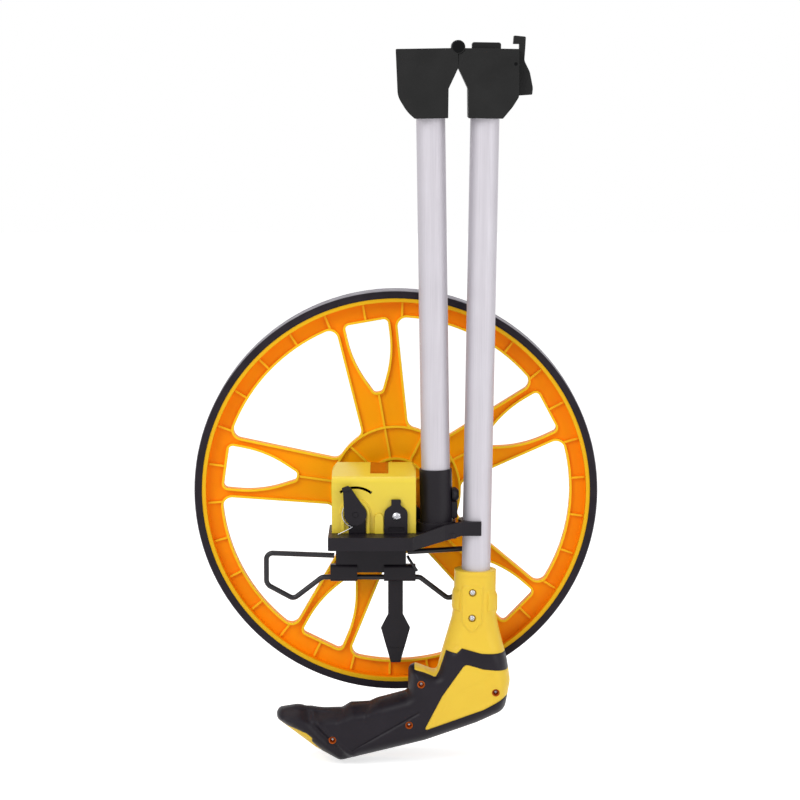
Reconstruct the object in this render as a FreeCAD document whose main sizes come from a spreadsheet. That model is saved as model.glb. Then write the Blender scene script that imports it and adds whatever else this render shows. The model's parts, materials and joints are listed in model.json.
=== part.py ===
import FreeCAD, Part
import math
import os
import Sketcher

# Folding measuring wheel. One turn of the tyre is one metre, so the wheel's radius sets the scale.
# Frame: X to the right, Y from the counter towards the wheel's far side, Z up. The origin is the
# point of the tyre's tread straight below the axle, in the wheel's middle plane.
# "Depth" below is the distance in front of the wheel's middle plane, that is along -Y.

os.makedirs("parts", exist_ok=True)
doc = FreeCAD.newDocument("measuring_wheel")
sheet = doc.addObject("Spreadsheet::Sheet", "sizes")
Vector = FreeCAD.Vector

SIZES = [
    # wheel
    ("wheel_radius", 159.155, "one metre divided by two pi"),
    ("tyre_width", 25.0, "tread width"),
    ("tyre_thickness", 6.0, "rubber outside the rim"),
    ("tread_groove", 1.2, "depth and half width of the tread grooves"),
    ("rim_width", 24.0, "outer rim wall along the axle"),
    ("rim_wall", 3.1, "outer rim wall"),
    ("rim_channel", 12.6, "ribbed channel from the rim wall to the openings"),
    ("rib_width", 1.8, "all ribs and lips"),
    ("lip_depth", 9.0, "lips of the openings and hub rings along the axle"),
    ("web_thickness", 3.0, "web between the lips"),
    ("rib_depth", 7.5, "ribs along the axle"),
    ("rim_ribs", 30, "ribs across the rim channel"),
    ("hub_radius", 51.5, "outer hub ring"),
    ("hub_inner_radius", 26.0, "inner hub ring"),
    ("hub_ribs", 10, "ribs between the hub rings"),
    ("spokes", 5, "double spokes"),
    ("first_spoke", 100.0, "direction of the first spoke from X towards Z, degrees"),
    ("spoke_root", 18.9, "half width of a spoke at the hub"),
    ("spoke_tip", 24.1, "half width of a spoke at the rim"),
    ("opening_corner", 7.0, "corner radius of the large openings"),
    ("slot_start", 79.2, "tip of a spoke's slot from the axle"),
    ("slot_end", 135.5, "wide end of a spoke's slot from the axle"),
    ("slot_half", 17.2, "half width of a slot at its wide end"),
    ("slot_tip", 3.0, "half width of a slot at its tip"),
    ("bearing_radius", 11.0, "outside of the ball bearings"),
    ("bearing_width", 7.0, "along the axle"),
    # axle and counter drive
    ("axle_drop", 2.4, "axle below the line that heights are given from"),
    ("axle_radius", 3.5, "wheel axle"),
    ("running_gap", 0.08, "radial gap of everything that turns on a pin"),
    ("gear_radius", 7.5, "pitch radius of both counter gears"),
    ("gear_teeth", 12, "teeth on each counter gear"),
    ("gear_width", 4.0, "along the axle"),
    ("nut_radius", 7.5, "axle nut across corners, halved"),
    ("nut_height", 6.0, "axle nut"),
    # counter housing
    ("case_back", 22.0, "depth of the counter housing's back"),
    ("case_front", 60.0, "depth of the counter housing's face"),
    ("case_left", -49.4, "left side"),
    ("case_right", 15.6, "right side"),
    ("case_floor", -27.0, "underside"),
    ("roof_front", 16.4, "roof at the face"),
    ("roof_back", 22.8, "roof at the back"),
    ("case_wall", 2.0, "cover wall"),
    ("window_width", 14.0, "counter window in the roof"),
    ("window_front", 49.5, "depth of the window's near edge"),
    ("drum_across", -12.8, "counter shaft across from the axle"),
    ("drum_radius", 7.2, "number drums"),
    ("drum_width", 3.0, "each number drum along the shaft"),
    ("drum_gap", 0.3, "between drums"),
    ("drum_shaft_radius", 1.5, "counter shaft"),
    ("plate_thickness", 4.0, "base plate and back plate"),
    ("plate_front", 80.0, "depth of the base plate's front flange"),
    ("plate_left", -52.0, "base plate"),
    ("plate_right", 47.0, "base plate"),
    ("flange_height", 10.3, "front flange"),
    ("back_plate_top", 20.0, "back plate"),
    # reset lever
    ("lever_across", -31.1, "reset lever's pivot"),
    ("lever_height", -11.4, "reset lever's pivot"),
    ("lever_hub", 8.6, "radius of the lever's round end"),
    ("lever_length", 24.0, "pivot to tip"),
    ("lever_tip", 2.9, "radius of the tip"),
    ("lever_lean", 18.4, "lever's lean from upright, degrees"),
    ("lever_thickness", 3.0, "lever"),
    ("lever_gap", 3.4, "housing face to the back of the lever"),
    ("peg_reach", 20.0, "reset peg from the pivot"),
    ("peg_radius", 0.8, "reset peg"),
    ("peg_slot", 2.1, "width of the curved slot"),
    # tube and hinge
    ("tube_radius", 11.1, "both tubes"),
    ("tube_wall", 1.5, "both tubes"),
    ("tube_depth", 45.0, "depth of both tubes"),
    ("hinge_across", 47.3, "fold hinge across from the axle"),
    ("hinge_height", 345.5, "fold hinge"),
    ("arm_offset", 21.5, "tube centreline from the hinge pin"),
    ("lean", 0.895, "each tube's lean when folded, degrees"),
    ("lower_length", 370.0, "hinge down to the lower tube's end"),
    ("collar_drop", 402.9, "hinge down to the top of the grip's collar"),
    ("tube_in_grip", 105.0, "upper tube inside the grip"),
    ("tube_in_hinge", 8.0, "hinge pin down to the end of each tube"),
    ("house_width", 46.0, "hinge pin to the outer side of each housing"),
    ("house_height", 53.4, "hinge pin to the foot of each housing"),
    ("house_half_depth", 17.0, "half the depth of the housings"),
    ("face_drop", 0.8, "mating faces below the pin"),
    ("knuckle_radius", 5.2, "hinge knuckles"),
    ("pin_radius", 3.5, "hinge pin"),
    ("moving_gap", 0.4, "room between pieces that pass each other"),
    ("plug_height", 4.6, "centring plug on the upper housing"),
    ("plug_half_depth", 10.0, "half the depth of the centring plug"),
    # latch
    ("latch_out", 43.6, "latch pivot out from the hinge pin"),
    ("latch_drop", 12.1, "latch pivot below the hinge pin"),
    ("latch_pin_radius", 1.4, "latch pin"),
    ("latch_half_width", 6.0, "half the width of the latch lever"),
    ("ear_half_width", 3.0, "half the width of the latch lever's ear"),
    # socket
    ("socket_wall", 1.5, "tube socket"),
    ("socket_height", 48.0, "tube socket above the base plate"),
    ("socket_foot", 15.0, "radius of the socket's foot"),
    # stand
    ("wire_radius", 2.05, "stand wire"),
    ("stand_depth", 24.0, "depth of the stand's pivot"),
    ("stand_drop", 68.5, "stand's pivot below the line"),
    ("stand_centre", -19.6, "middle of the stand across from the axle"),
    ("stand_half_width", 82.3, "middle of the stand to its end"),
    ("stand_rise", 19.3, "top bars above the pivot"),
    ("stand_dip", 17.4, "lowest bend below the pivot"),
    ("clip_half", 3.6, "half the depth of the stand's clips"),
    ("clip_height", 13.2, "stand's clips"),
    ("bracket_thickness", 3.0, "stand bracket"),
    # pointer
    ("pointer_depth", 16.4, "depth of the pointer's back face"),
    ("pointer_thickness", 1.6, "pointer strip"),
    # grip
    ("grip_half", 18.0, "half the grip's thickness"),
    ("collar_half", 14.4, "half the collar's thickness"),
    ("skin", 2.4, "rubber over the grip's core"),
    ("screw_radius", 3.0, "grip screws"),
]

for row, (alias, value, note) in enumerate(SIZES, start=1):
    sheet.set(f"A{row}", alias)
    sheet.set(f"B{row}", str(value))
    sheet.set(f"C{row}", note)
    sheet.setAlias(f"B{row}", alias)
doc.recompute()


def size(alias):
    """The sheet's value for one size."""
    return float(sheet.get(alias))


def polar(radius, degrees):
    """A point at a distance and direction, from X towards the sketch's second axis."""
    turn = math.radians(degrees)
    return (radius * math.cos(turn), radius * math.sin(turn))


def turned(point, degrees):
    """A point turned about the origin."""
    turn = math.radians(degrees)
    x, y = point
    return (x * math.cos(turn) - y * math.sin(turn), x * math.sin(turn) + y * math.cos(turn))


def rounded(points):
    """A closed wire through (x, y) or (x, y, corner radius) points."""
    corners = []
    total = len(points)
    for i, point in enumerate(points):
        here = Vector(point[0], point[1], 0)
        radius = point[2] if len(point) > 2 else 0
        before = Vector(points[i - 1][0], points[i - 1][1], 0) - here
        after = Vector(points[(i + 1) % total][0], points[(i + 1) % total][1], 0) - here
        if not radius:
            corners.append((here, None, here))
            continue
        half = before.getAngle(after) / 2
        back = radius / math.tan(half)
        start = here + before.normalize() * back
        end = here + after.normalize() * back
        middle = (before + after).normalize()
        centre = here + middle * (radius / math.sin(half))
        corners.append((start, centre - middle * radius, end))
    edges = []
    for i, (start, bend, end) in enumerate(corners):
        if bend is not None:
            edges.append(Part.Arc(start, bend, end).toShape())
        following = corners[(i + 1) % total][0]
        if end.distanceToPoint(following) > 1e-6:
            edges.append(Part.LineSegment(end, following).toShape())
    return Part.Wire(edges)


def box(x0, y0, x1, y1):
    """A closed rectangle."""
    return rounded([(x0, y0), (x1, y0), (x1, y1), (x0, y1)])


def circle(x, y, radius):
    """A closed circle."""
    return Part.Wire([Part.Circle(Vector(x, y, 0), Vector(0, 0, 1), radius).toShape()])


def shared(outline, region):
    """The wires around what two closed wires both enclose."""
    common = Part.Face(outline).common(Part.Face(region)).removeSplitter()
    return [face.OuterWire for face in common.Faces]


def place(x=0.0, depth=0.0, up=0.0, lean=0.0):
    """A placement across from the axle and up from the height line, leaned about the Y axis."""
    base = Vector(x, -depth, size("wheel_radius") + size("axle_drop") + up)
    return FreeCAD.Placement(base, FreeCAD.Rotation(Vector(0, 1, 0), lean))


def axle_place():
    """The axle's own frame."""
    return place(up=-size("axle_drop"))


def piece(label, placement=None):
    """An empty body for one sub-part."""
    body = doc.addObject("PartDesign::Body", label)
    body.Label = label
    body.Placement = placement or place()
    return body


def origin_part(body, role):
    """One of the body's own origin planes or axes."""
    return [feature for feature in body.Origin.OriginFeatures if feature.Role == role][0]


def sketch_of(body, name, plane, wires, offset):
    """A sketch of closed wires on an origin plane, moved along its normal by an expression."""
    sketch = body.newObject("Sketcher::SketchObject", name + "_sketch")
    sketch.AttachmentSupport = [(origin_part(body, plane), "")]
    sketch.MapMode = "FlatFace"
    sketch.setExpression("AttachmentOffset.Base.z", offset)
    for wire in wires:
        for edge in wire.OrderedEdges:
            curve = edge.Curve
            if isinstance(curve, Part.Circle) and edge.isClosed():
                sketch.addGeometry(Part.Circle(curve.Center, Vector(0, 0, 1), curve.Radius), False)
            elif isinstance(curve, Part.Circle):
                first, last = edge.ParameterRange
                points = [edge.valueAt(first), edge.valueAt((first + last) / 2), edge.valueAt(last)]
                sketch.addGeometry(Part.Arc(*points), False)
            else:
                ends = [vertex.Point for vertex in edge.Vertexes]
                sketch.addGeometry(Part.LineSegment(ends[0], ends[1]), False)
    return sketch


def pad(body, name, plane, wires, start, end):
    """Material between two offsets along the plane's normal. XZ's normal points along -Y."""
    sketch = sketch_of(body, name, plane, wires, start)
    feature = body.newObject("PartDesign::Pad", name)
    feature.Profile = sketch
    feature.setExpression("Length", f"({end}) - ({start})")
    return feature


def cut(body, name, plane, wires, start, end):
    """A pocket between two offsets along the plane's normal."""
    sketch = sketch_of(body, name, plane, wires, end)
    feature = body.newObject("PartDesign::Pocket", name)
    feature.Profile = sketch
    feature.setExpression("Length", f"({end}) - ({start})")
    return feature


def spin(body, name, wires, plane="YZ_Plane", axis="Y_Axis"):
    """A profile turned about one of the body's axes."""
    sketch = sketch_of(body, name, plane, wires, "0")
    feature = body.newObject("PartDesign::Revolution", name)
    feature.Profile = sketch
    feature.ReferenceAxis = (origin_part(body, axis), [""])
    feature.Angle = 360
    return feature


def around(body, name, features, count):
    """Features repeated around the body's Y axis."""
    pattern = body.newObject("PartDesign::PolarPattern", name)
    pattern.Originals = features
    pattern.Axis = (origin_part(body, "Y_Axis"), [""])
    pattern.Angle = 360
    pattern.setExpression("Occurrences", f"sizes.{count}")
    body.Tip = pattern
    return pattern


def ringed(body, name, plane, centre, outer, inner, start, end):
    """A pad of one circle, or of two for a ring, whose radii are bound to the sheet."""
    sketch = sketch_of(body, name, plane, [], start)
    for number, radius in enumerate([outer, inner]):
        if radius is None:
            continue
        x, y = centre
        shape = Part.Circle(Vector(x, y, 0), Vector(0, 0, 1), 8 - 4 * number)
        index = sketch.addGeometry(shape, False)
        constraint = sketch.addConstraint(Sketcher.Constraint("Radius", index, 8 - 4 * number))
        sketch.setExpression(f"Constraints[{constraint}]", radius)
    feature = body.newObject("PartDesign::Pad", name)
    feature.Profile = sketch
    feature.setExpression("Length", f"({end}) - ({start})")
    return feature


def feature_of(label, shape, placement):
    """A sub-part whose shape is worked out from the sheet."""
    solid = doc.addObject("Part::Feature", label)
    solid.Label = label
    solid.Shape = shape
    solid.Placement = placement
    return solid


# ---------------------------------------------------------------- wheel

RIM = size("wheel_radius") - size("tyre_thickness")
CHANNEL_OUTER = RIM - size("rim_wall")
OPENING_OUTER = CHANNEL_OUTER - size("rim_channel")


def spoke_edge(side, direction):
    """The ends of one straight spoke edge, past the hub ring and the rim wall."""
    rise = (size("spoke_tip") - size("spoke_root")) / 74
    near = (size("hub_radius") - 6, side * (size("spoke_root") - 10 * rise))
    far = (OPENING_OUTER + 8, side * (size("spoke_tip") + 15 * rise))
    return turned(near, direction), turned(far, direction)


def opening_wire(grow):
    """The opening between the first spoke and the next, grown by its lip."""
    step = 360 / size("spokes")
    right_near, right_far = spoke_edge(1, size("first_spoke"))
    left_near, left_far = spoke_edge(-1, size("first_spoke") + step)
    middle = size("first_spoke") + step / 2
    wedge = rounded([right_near, right_far, polar(OPENING_OUTER + 60, middle), left_far, left_near])
    ring = Part.Face(circle(0, 0, OPENING_OUTER)).cut(Part.Face(circle(0, 0, size("hub_radius"))))
    sharp = ring.common(Part.Face(wedge)).Faces[0]
    corner = size("opening_corner")
    return sharp.makeOffset2D(-corner).makeOffset2D(corner + grow)


def slot_wire(grow):
    """The slot inside the first spoke, narrowing to a round tip near the hub."""
    start = size("slot_start")
    end = size("slot_end")
    wide = size("slot_half")
    tip = size("slot_tip")
    half = [(start, -tip, tip), (start + 26.8, 1.4 - wide, 90), (end, -wide, 3.5)]
    other = [(x, -y, r) for x, y, r in reversed(half)]
    shape = Part.Face(rounded(half + other))
    shape.rotate(Vector(0, 0, 0), Vector(0, 0, 1), size("first_spoke"))
    if not grow:
        return shape.OuterWire
    return shape.makeOffset2D(grow)


def wires_of(shape):
    """The outer wires of a face or of a wire."""
    if shape.Faces:
        return [shape.Faces[0].OuterWire]
    return [shape.Wires[0]]


def wheel_moulding():
    """Rim, five double spokes and ribbed hub, moulded in one."""
    body = piece("wheel_moulding", axle_place())
    lip = "sizes.lip_depth / 2"
    web = "sizes.web_thickness / 2"
    rib = "sizes.rib_depth / 2"
    bore = "sizes.bearing_radius"
    centre = (0, 0)
    ringed(body, "web", "XZ_Plane", centre, "sizes.wheel_radius - sizes.tyre_thickness", bore,
           f"-{web}", web)
    ringed(body, "rim_wall", "XZ_Plane", centre, "sizes.wheel_radius - sizes.tyre_thickness",
           "sizes.wheel_radius - sizes.tyre_thickness - sizes.rim_wall",
           "-sizes.rim_width / 2", "sizes.rim_width / 2")
    ringed(body, "hub_ring", "XZ_Plane", centre, "sizes.hub_radius",
           "sizes.hub_radius - sizes.rib_width", f"-{lip}", lip)
    ringed(body, "hub_inner", "XZ_Plane", centre, "sizes.hub_inner_radius",
           "sizes.hub_inner_radius - sizes.rib_width", f"-{lip}", lip)
    ringed(body, "hub_boss", "XZ_Plane", centre, "sizes.bearing_radius + 3", bore,
           "-sizes.rim_width / 2", "sizes.rim_width / 2")
    opening_lip = pad(body, "opening_lip", "XZ_Plane", wires_of(opening_wire(size("rib_width"))),
                      f"-{lip}", lip)
    around(body, "opening_lips", [opening_lip], "spokes")
    slot_lip = pad(body, "slot_lip", "XZ_Plane", wires_of(slot_wire(size("rib_width"))),
                   f"-{lip}", lip)
    around(body, "slot_lips", [slot_lip], "spokes")
    half = size("rib_width") / 2
    first = size("first_spoke")

    def radial(name, near, far, direction, count):
        corners = [(near, -half), (far, -half), (far, half), (near, half)]
        outline = rounded([turned(corner, direction) for corner in corners])
        rib_pad = pad(body, name, "XZ_Plane", [outline], f"-{rib}", rib)
        around(body, name + "s", [rib_pad], count)

    radial("rim_rib", OPENING_OUTER - 1.5, CHANNEL_OUTER + 1, first, "rim_ribs")
    radial("hub_rib", size("hub_inner_radius") - 1, size("hub_radius") - 1, first, "hub_ribs")
    radial("spoke_rib", size("hub_radius") - 1, size("slot_start") - 1, first, "spokes")
    radial("boss_rib", size("bearing_radius") + 2, size("hub_inner_radius") - 1, first, "spokes")
    opening = cut(body, "opening", "XZ_Plane", wires_of(opening_wire(0)), f"-{lip} - 1",
                  f"{lip} + 1")
    around(body, "openings", [opening], "spokes")
    slot = cut(body, "slot", "XZ_Plane", wires_of(slot_wire(0)), f"-{lip} - 1", f"{lip} + 1")
    around(body, "slots", [slot], "spokes")
    return body


def tyre():
    """A flat rubber tyre with three shallow grooves round the tread."""
    body = piece("tyre", axle_place())
    half = size("tyre_width") / 2
    top = size("wheel_radius")
    groove = size("tread_groove")
    profile = [(-half, RIM), (-half, top, 1.5)]
    for middle in (-half / 2, 0, half / 2):
        profile += [(middle - groove, top), (middle, top - groove), (middle + groove, top)]
    profile += [(half, top, 1.5), (half, RIM)]
    spin(body, "tread", [rounded(profile)])
    return body


def bearing(label, start, end):
    """A sealed ball bearing, drawn as its outer and inner rings with a shield between."""
    body = piece(label, axle_place())
    axle = "sizes.axle_radius + sizes.running_gap"
    ringed(body, "outer_ring", "XZ_Plane", (0, 0), "sizes.bearing_radius",
           "sizes.bearing_radius - 2", start, end)
    ringed(body, "inner_ring", "XZ_Plane", (0, 0), "sizes.axle_radius + 2", axle, start, end)
    ringed(body, "shield", "XZ_Plane", (0, 0), "sizes.bearing_radius - 1", "sizes.axle_radius + 1",
           f"{start} + 0.6", f"{end} - 0.6")
    return body


def gear_wire(phase):
    """A gear's outline with narrow teeth that leave room between meshed flanks."""
    teeth = int(size("gear_teeth"))
    root = size("gear_radius") - 1.0
    tip = size("gear_radius") + 0.3
    step = 360 / teeth
    points = []
    for tooth in range(teeth):
        middle = phase + tooth * step
        points.append(polar(root, middle - 0.2 * step))
        points.append(polar(tip, middle - 0.12 * step))
        points.append(polar(tip, middle + 0.12 * step))
        points.append(polar(root, middle + 0.2 * step))
    return rounded(points)


DRUM_DISTANCE = 2 * size("gear_radius")
DRUM_RISE = math.sqrt(DRUM_DISTANCE ** 2 - size("drum_across") ** 2)
DRUM_HEIGHT = DRUM_RISE - size("axle_drop")
MESH_DIRECTION = math.degrees(math.atan2(DRUM_RISE, size("drum_across")))
GEAR_BACK = "sizes.case_back + 1"
GEAR_FRONT = "sizes.case_back + 1 + sizes.gear_width"


def hub_gear():
    """The sleeve gear that the wheel turns, reaching through the back plate into the counter."""
    body = piece("hub_gear", axle_place())
    ringed(body, "flange", "XZ_Plane", (0, 0), "sizes.bearing_radius + 2",
           "sizes.axle_radius + sizes.running_gap", "sizes.rim_width / 2",
           "sizes.rim_width / 2 + 2")
    ringed(body, "sleeve", "XZ_Plane", (0, 0), "sizes.gear_radius - 1",
           "sizes.axle_radius + sizes.running_gap", "sizes.rim_width / 2", GEAR_FRONT)
    pad(body, "teeth", "XZ_Plane", [gear_wire(MESH_DIRECTION)], GEAR_BACK, GEAR_FRONT)
    cut(body, "bore", "XZ_Plane",
        [circle(0, 0, size("axle_radius") + size("running_gap"))], "0", f"{GEAR_FRONT} + 1")
    return body


# ---------------------------------------------------------------- counter

BRACKET_BACK = "sizes.case_back + sizes.gear_width + 2"
BRACKET_FRONT = "sizes.case_back + sizes.gear_width + 7"


def axle_bolt():
    """The fixed axle, held in the axle bracket and clamped by the nut behind the wheel."""
    body = piece("axle_bolt", axle_place())
    nut_end = "sizes.rim_width / 2 + sizes.nut_height + 3"
    ringed(body, "shank", "XZ_Plane", (0, 0), "sizes.axle_radius", None,
           f"-({nut_end})", BRACKET_FRONT)
    return body


def hexagon(radius):
    """A hexagon across corners."""
    return rounded([polar(radius, 60 * side) for side in range(6)])


def axle_nut():
    """A hexagon nut with its washer on the far side of the wheel."""
    body = piece("axle_nut", axle_place())
    face = "-(sizes.rim_width / 2 + 0.3)"
    pad(body, "hexagon", "XZ_Plane", [hexagon(size("nut_radius"))],
        f"{face} - 1.2 - sizes.nut_height", f"{face} - 1.2")
    ringed(body, "washer", "XZ_Plane", (0, 0), "sizes.nut_radius + 1.5", None,
           f"{face} - 1.2", face)
    cut(body, "bore", "XZ_Plane", [circle(0, 0, size("axle_radius"))],
        f"{face} - 2 - sizes.nut_height", f"{face} + 1")
    return body


def axle_bracket():
    """The upright inside the counter that carries the axle and the counter shaft's rear end."""
    body = piece("axle_bracket")
    floor = size("case_floor")
    across = size("drum_across")
    outline = rounded([(across - 6, floor), (11, floor), (9, 7, 6), (across - 6, DRUM_HEIGHT + 6, 4)])
    pad(body, "upright", "XZ_Plane", [outline], BRACKET_BACK, BRACKET_FRONT)
    cut(body, "axle_hole", "XZ_Plane", [circle(0, -size("axle_drop"), size("axle_radius"))],
        f"{BRACKET_BACK} - 1", f"{BRACKET_FRONT} + 1")
    sleeve = size("drum_shaft_radius") + 1.5 + size("moving_gap")
    cut(body, "sleeve_hole", "XZ_Plane", [circle(across, DRUM_HEIGHT, sleeve)],
        f"{BRACKET_BACK} - 1", f"{BRACKET_FRONT} + 1")
    return body


def back_plate():
    """The plate behind the counter, from the socket's side to the cover's."""
    body = piece("back_plate")
    low = size("case_floor") - size("flange_height")
    top = size("back_plate_top")
    left = size("case_left")
    step = size("case_right")
    outline = rounded([(left, low), (size("plate_right"), low), (size("plate_right"), low + 16, 4),
                       (step, low + 24, 4), (step, top, 3), (left, top, 3)])
    pad(body, "plate", "XZ_Plane", [outline], "sizes.case_back - sizes.plate_thickness",
        "sizes.case_back")
    room = circle(0, -size("axle_drop"), size("gear_radius") + 1.5)
    cut(body, "gear_hole", "XZ_Plane", [room], "0",
        "sizes.case_back + 1")
    return body


def drum(number):
    """One number drum; the first also carries the driven gear through the axle bracket."""
    shaft = "sizes.drum_shaft_radius + sizes.running_gap"
    body = piece(f"drum_{number}", place(size("drum_across"), 0, DRUM_HEIGHT))
    pitch = size("drum_width") + size("drum_gap")
    start = f"sizes.case_back + sizes.gear_width + 7 + sizes.drum_gap + {number - 1} * ({pitch})"
    end = f"{start} + sizes.drum_width"
    ringed(body, "rim", "XZ_Plane", (0, 0), "sizes.drum_radius", shaft, start, end)
    if number == 1:
        ringed(body, "sleeve", "XZ_Plane", (0, 0), "sizes.drum_shaft_radius + 1.5", shaft,
               GEAR_BACK, f"{start} + 0.5")
        phase = MESH_DIRECTION + 180 + 180 / size("gear_teeth")
        pad(body, "teeth", "XZ_Plane", [gear_wire(phase)], GEAR_BACK, GEAR_FRONT)
        bore = size("drum_shaft_radius") + size("running_gap")
        cut(body, "bore", "XZ_Plane", [circle(0, 0, bore)], "0", f"{end} + 1")
    return body


def drum_shaft():
    """The fixed shaft through the drums, from the back plate to the cover's face."""
    body = piece("drum_shaft", place(size("drum_across"), 0, DRUM_HEIGHT))
    ringed(body, "shaft", "XZ_Plane", (0, 0), "sizes.drum_shaft_radius", None,
           "sizes.case_back", "sizes.case_front - sizes.case_wall")
    return body


def roof_height(depth, below):
    """The roof's height at a depth, lowered by a wall."""
    back = size("case_back")
    rise = (size("roof_back") - size("roof_front")) / (size("case_front") - back)
    return size("roof_back") - rise * (depth - back) - below


def side_outline(inset):
    """The housing's side view, as (Y, Z) points, inset by a wall at the roof and the face."""
    front = size("case_front") - inset
    back = size("case_back") - (1 if inset else 0)
    floor = size("case_floor") - (1 if inset else 0)
    corner = 5 if not inset else 3
    return rounded([(-front, floor), (-back, floor), (-back, roof_height(back, inset)),
                    (-front, roof_height(front, inset), corner)])


def counter_cover():
    """The yellow counter housing: a box open below and behind, with a window in its roof."""
    body = piece("counter_cover")
    left = size("case_left")
    right = size("case_right")
    wall = size("case_wall")
    pad(body, "box", "YZ_Plane", [side_outline(0)], "sizes.case_left", "sizes.case_right")
    cut(body, "inside", "YZ_Plane", [side_outline(wall)], "sizes.case_left + sizes.case_wall",
        "sizes.case_right - sizes.case_wall")
    top = size("roof_back") + 2
    slope = 5.0
    for side, edge in ((1, left), (-1, right)):
        corner = rounded([(edge - side, top), (edge - side, top - 2 - slope),
                          (edge + side * slope, top)])
        cut(body, f"bevel_{'left' if side > 0 else 'right'}", "XZ_Plane", [corner],
            "sizes.case_back - 1", "sizes.case_front + 1")
    middle = size("drum_across")
    half = size("window_width") / 2
    cut(body, "window_opening", "XY_Plane",
        [box(middle - half, -size("window_front"), middle + half, 2 - size("case_back"))],
        "sizes.roof_front - 8", "sizes.roof_back + 1")
    face = "sizes.case_front"
    floor = size("case_floor")
    post = rounded([(-16.3, floor), (-9.5, floor), (-9.5, size("lever_height"), 3.2),
                    (-16.3, size("lever_height"), 3.2)])
    pad(body, "half_round_post", "XZ_Plane", [post], face, f"{face} + 2.2")
    across = size("lever_across")
    up = size("lever_height")
    arch = Part.Face(circle(across, up, size("lever_hub") + 3.4))
    arch = arch.cut(Part.Face(circle(across, up, size("lever_hub") + 2.2)))
    arch = arch.common(Part.Face(box(across - 20, up, across + 20, up + 20)))
    pad(body, "arch_rib", "XZ_Plane", [arch.Faces[0].OuterWire], face, f"{face} + 1.2")
    half_slot = size("peg_slot") / 2
    reach = size("peg_reach")
    ring = Part.Face(circle(across, up, reach + half_slot))
    ring = ring.cut(Part.Face(circle(across, up, reach - half_slot)))
    first = polar(60, 52)
    middle_ray = polar(90, 90)
    last = polar(60, 126)
    wedge = rounded([(across, up), (across + first[0], up + first[1]),
                     (across + middle_ray[0], up + middle_ray[1]),
                     (across + last[0], up + last[1])])
    arc = ring.common(Part.Face(wedge))
    cut(body, "curved_slot", "XZ_Plane", [arc.Faces[0].OuterWire],
        "sizes.case_front - sizes.case_wall - 1", "sizes.case_front + 3")
    return body


def counter_window():
    """The clear pane in the roof, sloped with it."""
    body = piece("counter_window")
    half = size("window_width") / 2
    front = size("window_front")
    back = size("case_back")
    wall = size("case_wall")
    pane = rounded([(-front, roof_height(front, wall)), (-back, roof_height(back, wall)),
                    (-back, roof_height(back, 0.2)), (-front, roof_height(front, 0.2))])
    pad(body, "pane", "YZ_Plane", [pane], f"sizes.drum_across - {half}",
        f"sizes.drum_across + {half}")
    return body


def base_plate():
    """The flat plate under the counter, its front flange, and the arm of the upper tube's clip."""
    body = piece("base_plate")
    back = "sizes.case_back"
    front = "sizes.plate_front"
    top = size("case_floor")
    left = size("plate_left")
    step = 13.0
    deep = size("plate_front")
    plan = rounded([(left, -size("case_back")), (size("plate_right"), -size("case_back")),
                    (size("plate_right"), -62, 4), (step + 14, -62, 8), (step, -deep), (left, -deep, 3)])
    pad(body, "plate", "XY_Plane", [plan], "sizes.case_floor - sizes.plate_thickness",
        "sizes.case_floor")
    low = top - size("flange_height")
    pad(body, "front_flange", "XZ_Plane", [rounded([(left, low, 2), (step, low), (step, top - 1),
                                                    (left, top - 1)])],
        f"{front} - 3", front)
    pad(body, "left_flange", "XZ_Plane", [box(left, low, left + 3, top - 1)], back, f"{front} - 1")
    arm_sections(body)
    axis = tube_axis_at(-24)
    hole = size("tube_radius") + size("moving_gap")
    depth = size("tube_depth")
    clear = rounded([(axis - hole, -depth - hole, hole - 0.01), (axis + 30, -depth - hole),
                     (axis + 30, -depth + hole), (axis - hole, -depth + hole, hole - 0.01)])
    cut(body, "tube_seat", "XY_Plane", [clear], "sizes.case_floor - 12", "sizes.case_floor + 12")
    return body


def tube_axis_at(up):
    """How far across the upper tube's centreline lies at a height above the axle."""
    drop = size("hinge_height") - up
    return size("hinge_across") + size("arm_offset") - drop * math.tan(math.radians(size("lean")))


def arm_sections(body):
    """The arm that sweeps back and up from the front flange to the clip round the upper tube."""
    top = size("case_floor")
    deep = size("plate_front")
    near = size("tube_depth") + size("tube_radius") + size("moving_gap")
    axis = tube_axis_at(-24)
    sections = [(12.0, -deep, -deep + 3, top - 10.3, top),
                (38.0, -near - 6, -near - 1.5, top - 5.5, top + 6.5),
                (51.0, -near - 3, -near, top - 2.2, top + 8.7),
                (axis, -near - 3, -near, top - 2.2, top + 8.7)]
    sketches = []
    for number, (x, y0, y1, z0, z1) in enumerate(sections):
        sketches.append(sketch_of(body, f"arm_{number}", "YZ_Plane", [box(y0, z0, y1, z1)], str(x)))
    loft = body.newObject("PartDesign::AdditiveLoft", "arm")
    loft.Profile = sketches[0]
    loft.Sections = sketches[1:]
    loft.Ruled = True
    outer = size("tube_radius") + size("moving_gap") + 3
    depth = size("tube_depth")
    jaw = rounded([(axis - outer, -depth - outer, outer - 0.01), (axis + 3.2, -depth - outer, 1),
                   (axis + 3.2, -depth + outer, 1), (axis - outer, -depth + outer, outer - 0.01)])
    pad(body, "clip_jaw", "XY_Plane", [jaw], "sizes.case_floor - 2.2", "sizes.case_floor + 8.7")


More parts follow.
